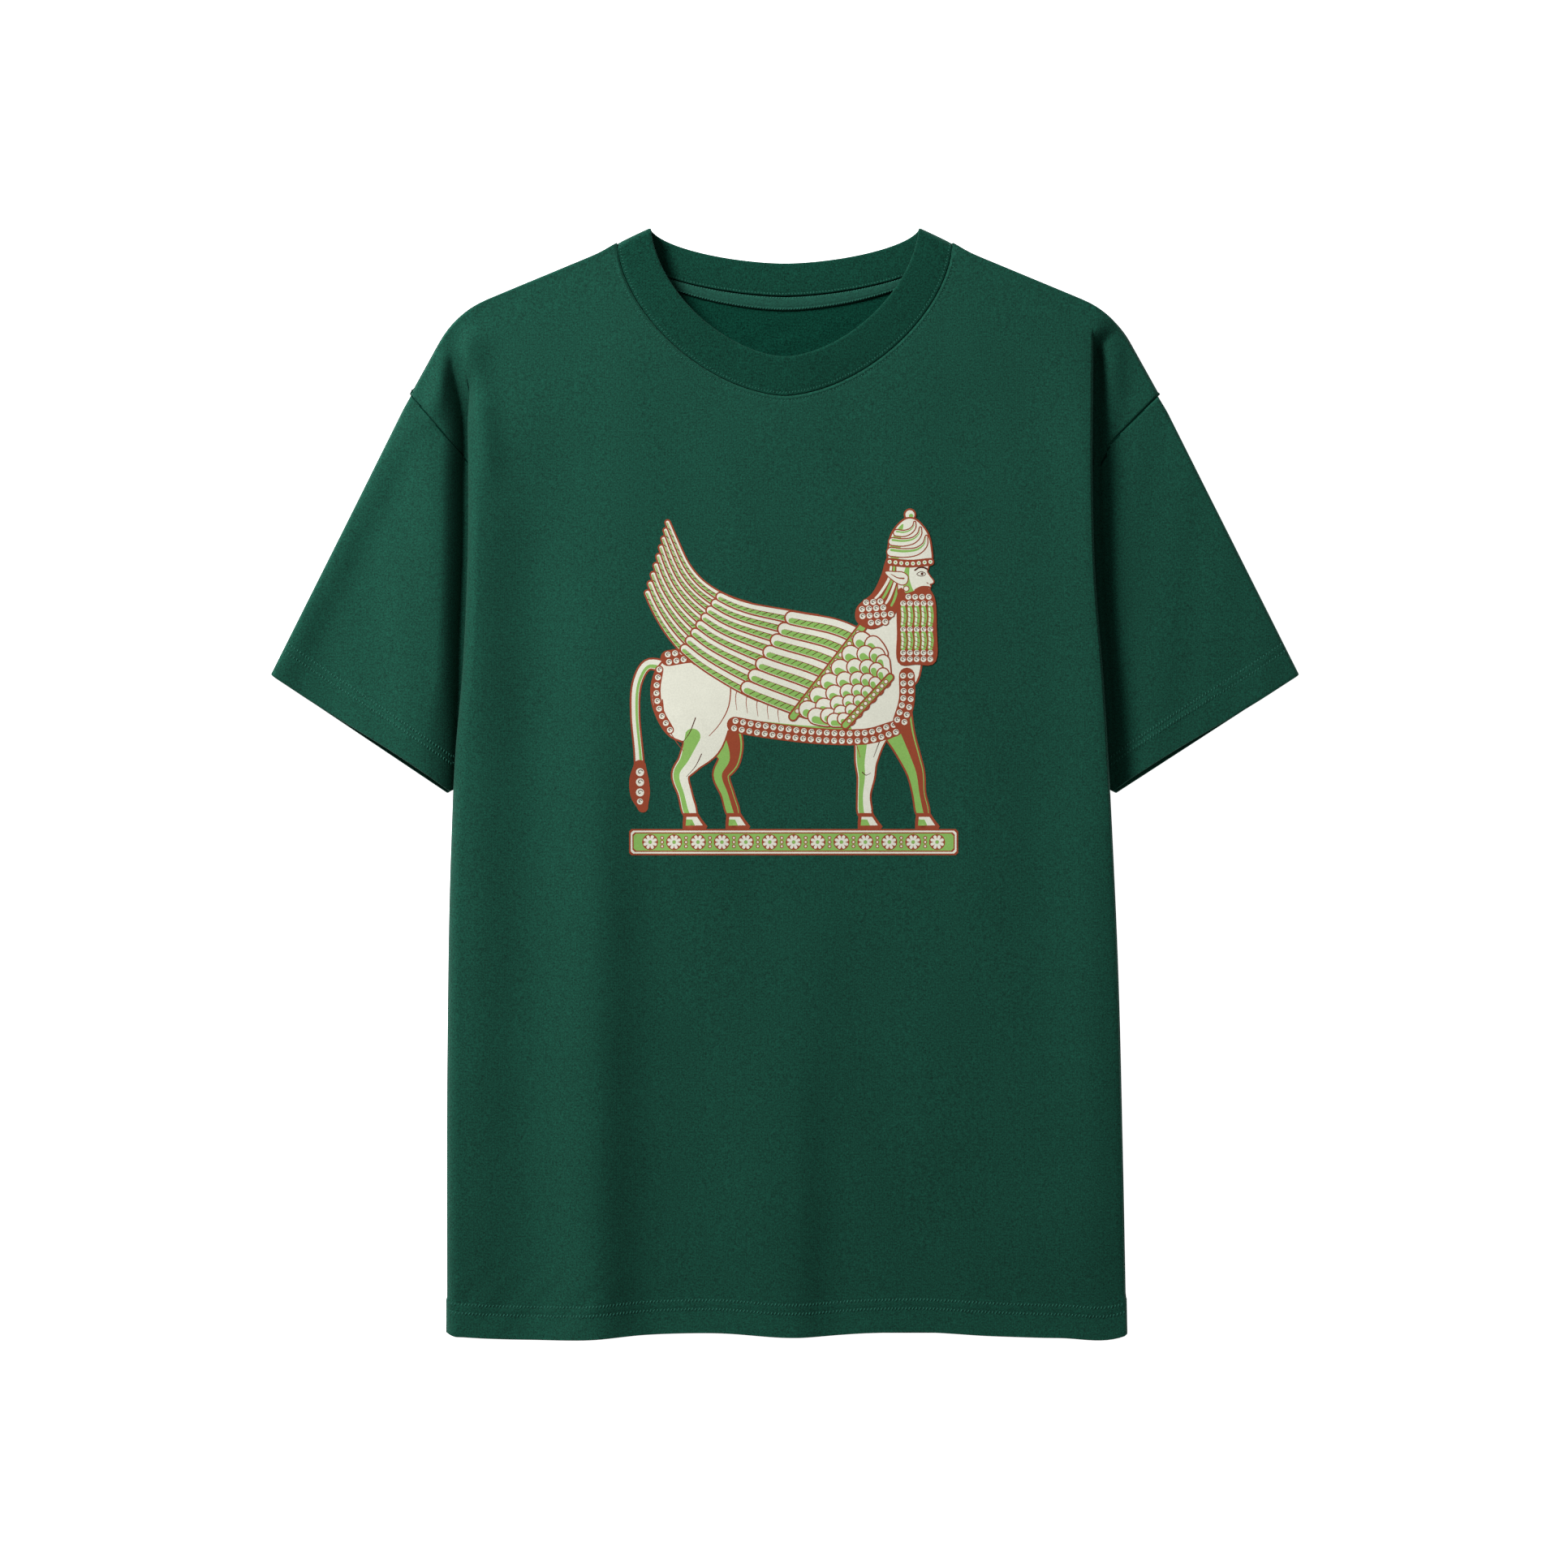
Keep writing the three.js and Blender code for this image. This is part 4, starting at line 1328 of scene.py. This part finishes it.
BODY = [
    (60, 24), (72, 10), (78, -8), (75, -26), (64, -38), (44, -42), (14, -41), (-20, -37), (-44, -34),
    (-62, -42), (-82, -38), (-93, -20), (-94, -2), (-86, 12), (-68, 17), (-30, 14), (10, 14), (36, 24),
]
NECK = [(44, 26), (52, 40), (62, 54), (76, 56), (84, 40), (84, 16), (78, -4), (58, 4)]
HOOF = [(-4.6, 1.5), (4.4, 1.5), (6.6, -2.2), (10.5, -7.2), (9.6, -8.6), (-5.4, -8.6), (-5.0, -4)]
HOOF_LIGHT = [(-3.0, -0.6), (4.0, -0.6), (7.8, -6.2), (-3.6, -6.4)]
HOOF_SHADE = [(-3.2, -2.2), (0.8, -2.4), (2.6, -6.3), (-3.6, -6.4)]


def draw_hoof(u):
    place = np.array([u, -91])
    edged(RED, np.array(HOOF) + place, 0.5)
    lay(IVORY, HOOF_LIGHT + place)
    lay(GREEN, HOOF_SHADE + place)


def draw_band():
    left, right, bottom, top, corner = -110, 108, -117, -99.6, 1.6
    for inset, ink in ((0, RED), (1.1, IVORY), (2.2, RED), (3.0, GREEN)):
        a, b, c, d = left + inset, right - inset, bottom + inset, top - inset
        lay(
            ink,
            [
                (a + corner, c), (b - corner, c), (b, c + corner), (b, d - corner),
                (b - corner, d), (a + corner, d), (a, d - corner), (a, c + corner),
            ],
        )
    count = 13
    pitch = (right - left - 12) / count
    middle = (top + bottom) / 2
    for k in range(count):
        u = left + 6 + (k + 0.5) * pitch
        rosette(np.array([u, middle]), 4.7)
        if k < count - 1:
            for rise in (-2.8, 0, 2.8):
                bead((u + pitch / 2, middle + rise), 0.7)


def draw_tail():
    limb([(-86, 8, 7), (-98, 9, 5.6), (-105, -4, 4.8), (-106, -24, 4.4), (-104, -46, 4.4), (-103, -60, 5)])
    limb([(-103, -58, 6), (-103.4, -67, 10.5), (-102.6, -77, 10.5), (-101, -85, 5)], [RED])
    for drop, radius in ((62, 2.7), (68.6, 2.7), (75.4, 2.7), (81.4, 2.0)):
        curl((-102.8, -drop), radius)


def draw_body():
    for leg, u in ((HIND_FAR, -40.6), (FORE_FAR, 85)):
        limb(leg, (GREEN, RED))
        draw_hoof(u)
    draw_tail()
    trunk, neck = blob(BODY, 6), blob(NECK)
    near_legs = (HIND_NEAR, FORE_NEAR)
    for outline in (trunk, neck):
        lay(RED, grown(outline, 1.3))
    for leg in near_legs:
        lay(RED, ribbon(leg, 1.2))
    lay(IVORY, trunk)
    lay(IVORY, neck)
    lay(GREEN, ribbon([(70, -30, 6), (48, -36, 10), (14, -36, 9), (-20, -32.5, 8), (-42, -29, 6)]))
    for leg, u in zip(near_legs, (-69, 47)):
        lay(IVORY, ribbon(leg))
        lay(GREEN, ribbon(leg[2:], -0.1, shift=-0.26, narrow=0.4))
        draw_hoof(u)
    muscles = [
        (1.1, RED, [(-48, 12), (-43, -2), (-44, -18), (-50, -30), (-57, -38)]),
        (0.9, RED, [(-88, -14), (-86, -28), (-80, -40), (-74, -48)]),
        (0.8, BROWN, [(-66, -26), (-70, -36), (-76, -44)]),
        (0.7, BROWN, [(-62, -50), (-66, -58), (-72, -65)]),
        (0.9, RED, [(36, -34), (40, -42), (43, -52)]),
        (0.8, BROWN, [(58, -36), (55, -44), (52, -52)]),
        (0.7, BROWN, [(44.5, -62), (47, -64), (50, -62.5)]),
    ]
    for width, ink, points in muscles:
        draw_line(points, width, ink, taper=True)
    for k in range(5):
        u = -8 - 7 * k
        rib_line = [(u, -14 + 3.2 * k), (u - 3.4, -21 + 2.4 * k), (u - 2.6, -29 + 2 * k)]
        draw_line(rib_line, 0.75, RED, taper=True)
    curl_rows([(66, -33), (46, -38.5), (14, -38), (-20, -34), (-40, -30.5)], 2)
    curl_rows([(-90, 6), (-92, -8), (-89.5, -22), (-83, -34)], 1)
    curl_rows([(-84, 13.5), (-66, 16), (-40, 14.5)], 2)
    curl_rows([(74, 2), (74, -14), (70, -28)], 2)


# The wing bends up from the shoulder: s runs from its root to its tips and q from its leading edge down.
LEADING = curve([(62, 0), (56, 22), (34, 37), (0, 44), (-38, 52), (-66, 70), (-84, 106)], 10)
TRAILING = curve([(34, -30), (16, -28), (-10, -20), (-42, -6), (-76, 18), (-98, 52), (-110, 96)], 10)


def wing_places(s, q):
    """Places on the wing and its width there."""
    at = np.linspace(0, 1, len(LEADING))
    lead, trail = (
        np.stack([np.interp(s, at, edge[:, k]) for k in (0, 1)], axis=-1) for edge in (LEADING, TRAILING)
    )
    return mix(lead, trail, q), np.linalg.norm(lead - trail, axis=-1)


def draw_feather(start, end, q, share):
    """One feather across a share of the wing's width, its lower side in shade, with a quill and barbs."""
    centre, wide = wing_places(np.linspace(start, end, 7), q)
    keys = np.column_stack([centre, wide * share * np.linspace(1.0, 0.9, 7)])
    limb(keys, shift=0.23, narrow=0.5, grow=(0.85, -0.25, -0.35), steps=3)
    draw_line(centre[1:], 0.55, RED, taper=True)
    length = np.linalg.norm(np.diff(centre, axis=0), axis=1).sum()
    count = int(length / 4.4)
    for k in range(count):
        at = mix(start, end, (k + 1.2) / (count + 1.4))
        root = wing_places(at, q)[0]
        tip = wing_places(at + 1.6 / length * (end - start), q + share * 0.34)[0]
        draw_line([root, tip], 0.5, steps=1)


def draw_tier(start, end, stagger, count):
    for j in reversed(range(count)):
        q = (j + 0.5) / count
        draw_feather(start, end - stagger * q, q, 0.98 / count)


def draw_scales(end, rows=5, count=6):
    step = end / rows
    for i in reversed(range(rows)):
        for j in range(count + i % 2):
            q = np.clip((j + 0.5 - 0.5 * (i % 2)) / count, 0.25 / count, 1 - 0.25 / count)
            centre, wide = wing_places(np.linspace((i - 0.3) * step, (i + 0.9) * step, 3), q)
            keys = np.column_stack([centre, wide / count * 0.96])
            limb(keys, shift=0.22, narrow=0.5, grow=(0.7, -0.2, -0.3), steps=2)


def draw_wing_band(s, width):
    middle = np.array([wing_places(s, q)[0] for q in np.linspace(-0.03, 1.03, 7)])
    limb(np.column_stack([middle, np.full(len(middle), width)]), [GREEN])
    for place in even_places(middle, width * 1.12)[1:-1]:
        bead(place, width * 0.3)


def draw_shoulder():
    draw_wing_band(0.275, 4.2)
    draw_scales(0.25)
    draw_wing_band(0.0, 3.6)


def draw_head():
    hair = [
        (62, 80), (68, 80), (72, 66), (70, 54), (64, 42), (52, 34), (42, 38), (42, 47), (52, 56), (58, 68),
    ]
    edged(RED, blob(hair))
    for k in range(4):
        lock = [
            (63.5 + 2.1 * k, 74, 1.5), (62.0 + 2.4 * k, 66, 1.7), (56.6 + 3.2 * k, 57 - k, 1.7),
            (53 + 3.6 * k, 53 - 1.5 * k, 1.4),
        ]
        lay(GREEN if k % 2 else IVORY, ribbon(lock))
    for u, v, count in ((47.0, 50.4, 3), (44.2, 46.0, 4), (44.6, 41.4, 5), (50.2, 37.0, 3)):
        for j in range(count):
            curl((u + 4.7 * j, v + 0.35 * j), 2.0)
    face = [
        (68, 77), (80, 78.5), (87.4, 77), (88.0, 73.4), (87.3, 71.0), (89.3, 67.6), (91.5, 64.7),
        (90.9, 63.3), (89.0, 62.7), (89.6, 61.1), (88.7, 59.9), (89.2, 58.5), (88.2, 57.0), (88.6, 53),
        (80, 49), (70, 52), (68, 64),
    ]
    edged(IVORY, blob(face, 4), 0.8)
    lay(GREEN, ribbon([(74.5, 74, 2.5), (73.5, 66, 4.5), (75.5, 58, 5.5), (80, 54, 4)]))
    eye = blob([(80.9, 69.2), (83.6, 70.7), (86.2, 69.2), (83.6, 68.1)], 4)
    lay(BROWN, grown(eye, 0.5))
    lay(IVORY, eye)
    lay(BROWN, disc((84.1, 69.4), 0.95, 10))
    draw_line([(79.3, 71.8), (82.2, 73.6), (85.2, 73.6), (87.5, 72.6)], 1.15)
    draw_line([(86.4, 60.1), (88.6, 59.9)], 0.5)
    draw_line([(87.3, 63.6), (88.2, 62.9)], 0.6, RED)
    ear = [(74.5, 67.5), (73.4, 63.2), (69.5, 62.6), (63.5, 66.4), (59.8, 70.6), (66, 70.6), (71.2, 70.2)]
    edged(IVORY, blob(ear), 0.7)
    draw_line([(72, 66.4), (68, 66.8), (63.5, 69.2)], 1.1, RED, taper=True)
    bead((73.6, 59.6), 1.5)


def draw_beard():
    outline = [
        (69.6, 59), (73, 55.5), (80, 57.4), (85, 59.4), (89.3, 57.2), (92.0, 50), (92.6, 34), (92.2, 12),
        (80, 10.6), (69, 11.5), (68.6, 30), (68.4, 46),
    ]
    edged(RED, blob(outline))
    draw_line([(79.6, 58.6), (83.6, 60.6), (88.6, 60.6)], 1.5, RED)
    middle, pitch = 80.5, 4.5
    for u, v, count in ((1.2, 54.2, 4), (0, 49.8, 5), (0, 32.6, 5), (0, 17.2, 5), (0, 12.9, 5)):
        for j in range(count):
            curl((middle + u + pitch * (j - (count - 1) / 2), v), 1.9)
    for top, bottom in ((46.6, 36), (29.6, 20.6)):
        for j in range(5):
            u = middle + pitch * (j - 2)
            lock = [(u, top, 3.4), (u + 0.5, (top + bottom) / 2, 3.6), (u, bottom, 3.4)]
            lay(GREEN, ribbon(lock, steps=3))
            lay(IVORY, ribbon(lock, steps=3, shift=-0.2, narrow=0.36))
            for k in range(3):
                v = mix(top, bottom, (k + 0.7) / 3)
                draw_line([(u - 1.5, v + 0.8), (u + 1.6, v - 0.8)], 0.42, RED, steps=1)


def draw_crown():
    edged(IVORY, disc((76, 108.6), 3.0))
    lay(GREEN, disc((76.8, 107.8), 1.5, 10))
    dome = [
        (63.2, 77), (62.2, 86), (64.5, 96), (70.5, 103.6), (76, 106), (81.5, 103.6), (87.4, 96), (89.8, 86),
        (89.0, 77), (76, 75.4),
    ]
    edged(IVORY, blob(dome, 6))
    lay(GREEN, blob([(63.4, 80), (63.0, 88), (66.4, 97), (71.6, 102.4), (70, 92), (69, 80)]))
    horns = [
        [(63.6, 84, 5.2), (72, 83.2, 5.0), (80.5, 84.4, 4.2), (85.8, 88.6, 2.8), (87.0, 94.2, 0.9)],
        [(64.4, 90.8, 4.4), (71.4, 90.2, 4.2), (78.2, 91.6, 3.4), (82.2, 95.4, 2.2), (83.0, 99.8, 0.8)],
        [(67.2, 96.6, 3.6), (72.0, 96.2, 3.4), (76.4, 97.8, 2.6), (78.8, 100.6, 1.7), (79.2, 103.6, 0.6)],
    ]
    for keys in horns:
        limb(keys, narrow=0.36, grow=(0.8, 0, -0.1))
    diadem = [(62.6, 77.4, 4.4), (76, 76.2, 4.4), (89.6, 77.4, 4.4)]
    lay(RED, ribbon(diadem, 0.4))
    for place in even_places([key[:2] for key in diadem], 3.7):
        bead(place, 1.35)
        lay(GREEN, disc(place, 0.6, 8))


PRINT_STAGES = [
    [draw_band, draw_body],
    [lambda: draw_tier(0.62, 1.0, 0.16, 9)],
    [lambda: draw_tier(0.42, 0.72, 0.06, 8)],
    [lambda: draw_tier(0.24, 0.50, 0.04, 7)],
    [draw_shoulder],
    [draw_head],
    [draw_beard, draw_crown],
]


def ink_material(name, colour):
    """Soft ink that lets the knit under it show a little."""
    m = Nodes(name)
    place = m.add("ShaderNodeTexCoord").outputs["Object"]
    grain = m.noise(place, 900.0).outputs["Fac"]
    cloud = m.noise(place, 120.0, 3.0).outputs["Fac"]
    bright = m.math("ADD", m.math("ADD", m.around(grain, 0.26), m.around(cloud, 0.10)), 1.0)
    m.tint(colour, bright)
    m.bump(grain, 0.35, 0.12)
    m.plain({"Roughness": 0.7, "Specular IOR Level": 0.25})
    return m.material


def goes_round(outline, places):
    """Which of some places an outline goes round."""
    a = outline[None] - places[:, None]
    b = np.roll(a, -1, axis=1)
    turn = a[..., 0] * b[..., 1] - a[..., 1] * b[..., 0]
    rising = (a[..., 1] <= 0) & (b[..., 1] > 0) & (turn > 0)
    falling = (a[..., 1] > 0) & (b[..., 1] <= 0) & (turn < 0)
    return rising.sum(axis=1) != falling.sum(axis=1)


def showing_inks(places):
    """The ink that shows at each place, or -1 where the cloth is bare."""
    inks = np.full(len(places), -1)
    for ink, outline in reversed(areas):
        in_box = np.all((places > outline.min(axis=0)) & (places < outline.max(axis=0)), axis=1)
        near = np.flatnonzero(in_box & (inks < 0))
        inks[near[goes_round(outline, places[near])]] = ink
    return inks


def stepped(outline):
    """An outline whose long edges are cut into short steps."""
    parts = []
    for a, b in zip(outline, np.roll(outline, -1, axis=0)):
        count = math.ceil(np.linalg.norm(b - a) / INK_GRID)
        parts.append(mix(a, b, np.arange(count)[:, None] / max(count, 1)))
    return np.concatenate(parts)


def film(stage):
    """The areas laid so far, cut into triangles that lie on the cloth as a thin closed film."""
    outlines = [stepped(outline) for _, outline in areas]
    everything = np.concatenate(outlines)
    spans = [np.arange(a, b, INK_GRID) for a, b in zip(everything.min(axis=0), everything.max(axis=0))]
    grid = np.stack(np.meshgrid(*spans), axis=-1).reshape(-1, 2)
    edges = []
    for outline in outlines:
        corners = np.arange(len(outline)) + len(edges)
        edges += zip(corners.tolist(), np.roll(corners, -1).tolist())
    points = [Vector(p) for p in np.concatenate([everything, grid]).tolist()]
    cut = delaunay_2d_cdt(points, edges, [], 0, 1e-3, False)
    plan = np.array([tuple(p) for p in cut[0]])
    triangles = np.array(cut[2])
    inks = showing_inks(plan[triangles].mean(axis=1))
    triangles, inks = triangles[inks >= 0].tolist(), inks[inks >= 0].tolist()
    x, y = (plan * PRINT_SCALE + PRINT_MIDDLE).T
    z = front_top(x, y)
    top = INK_FILM + OVERPRINT * stage
    vertices = np.concatenate([np.stack([x, y, z + lift], axis=1) for lift in (top, INK_FOOT)])
    below = len(plan)
    rim = open_edges(triangles)
    under = [[v + below for v in reversed(triangle)] for triangle in triangles]
    walls = [[b, a, a + below, b + below] for a, b in rim]
    vertices, faces = only_used(vertices, triangles + under + walls)
    return vertices, faces, inks + inks + [inks[number] for number in rim.values()]


def make_print():
    vertices, faces, inks = [], [], []
    start = 0
    for stage, drawings in enumerate(PRINT_STAGES):
        areas.clear()
        for draw in drawings:
            draw()
        points, film_faces, film_inks = film(stage)
        vertices.append(points)
        faces += [tuple(v + start for v in face) for face in film_faces]
        inks += film_inks
        start += len(points)
    names = ("ink_ivory", "ink_green", "ink_red", "ink_brown")
    materials = [ink_material(name, colour) for name, colour in zip(names, INK_COLOURS)]
    piece = new_object("chest_print", to_metres(np.concatenate(vertices)), faces, materials[0])
    for material in materials[1:]:
        piece.data.materials.append(material)
    piece.data.polygons.foreach_set("material_index", inks)
    place_piece(piece)


front = make_front()
back = make_back()
left_sleeve = make_sleeve(-1, "left_sleeve", "sleeve_left")
right_sleeve = make_sleeve(1, "right_sleeve", "sleeve_right")
collar = make_collar()
neck_tape = make_tape()
make_hem_stitches()
make_cuff_stitches(-1, "left_cuff_stitches")
make_cuff_stitches(1, "right_cuff_stitches")
make_collar_stitches()
make_tape_stitches()
make_print()

# Floor, light and camera. Places are metres, the lens and its sensor millimetres. PIXEL is how much of the
# ground one photo pixel shows, and AXIS_PIXEL is the photo pixel straight below the camera.

PIXEL = 0.00055
PHOTO = 1932
AXIS_PIXEL = (967, 964.5)
LENS = 110
SENSOR = 36
FLOOR_HALF = 6
FLOOR_WHITE = (0.95, 0.95, 0.95, 1)
KEY_PLACE = (-1.35, 1.45, 1.2)
KEY_SIZE = 0.7
KEY_POWER = 90
FILL = 0.2


def make_floor():
    m = Nodes("floor")
    m.plain({"Base Color": FLOOR_WHITE, "Roughness": 0.9})
    m.plain({"Emission Color": FLOOR_WHITE, "Emission Strength": 1.0})
    corners = FLOOR_HALF * np.array([(-1, -1, 0), (1, -1, 0), (1, 1, 0), (-1, 1, 0)])
    new_object("floor", corners, [(0, 1, 2, 3)], m.material)


def make_lights():
    data = bpy.data.lights.new("key", "AREA")
    data.size = KEY_SIZE
    data.energy = KEY_POWER
    light = add_object("key", data)
    light.location = KEY_PLACE
    light.rotation_euler = (-Vector(KEY_PLACE)).to_track_quat("-Z", "Y").to_euler()
    world = bpy.data.worlds.new("world")
    world.use_nodes = True
    background = world.node_tree.nodes["Background"]
    background.inputs["Color"].default_value = (1, 1, 1, 1)
    background.inputs["Strength"].default_value = FILL
    bpy.context.scene.world = world


def make_camera():
    """A camera straight above the shirt, as far away as the photo's frame needs."""
    data = bpy.data.cameras.new("camera")
    data.lens = LENS
    data.sensor_width = SENSOR
    camera = add_object("camera", data)
    x, y = (PHOTO / 2 - AXIS_PIXEL[0]) * PIXEL, (AXIS_PIXEL[1] - PHOTO / 2) * PIXEL
    subject_height = 0.5 * BODY_LOFT * 0.001
    camera.location = (x, y, subject_height + PHOTO * PIXEL * LENS / SENSOR)
    bpy.context.scene.camera = camera


make_floor()
make_lights()
make_camera()
bpy.context.scene.view_settings.view_transform = "Standard"
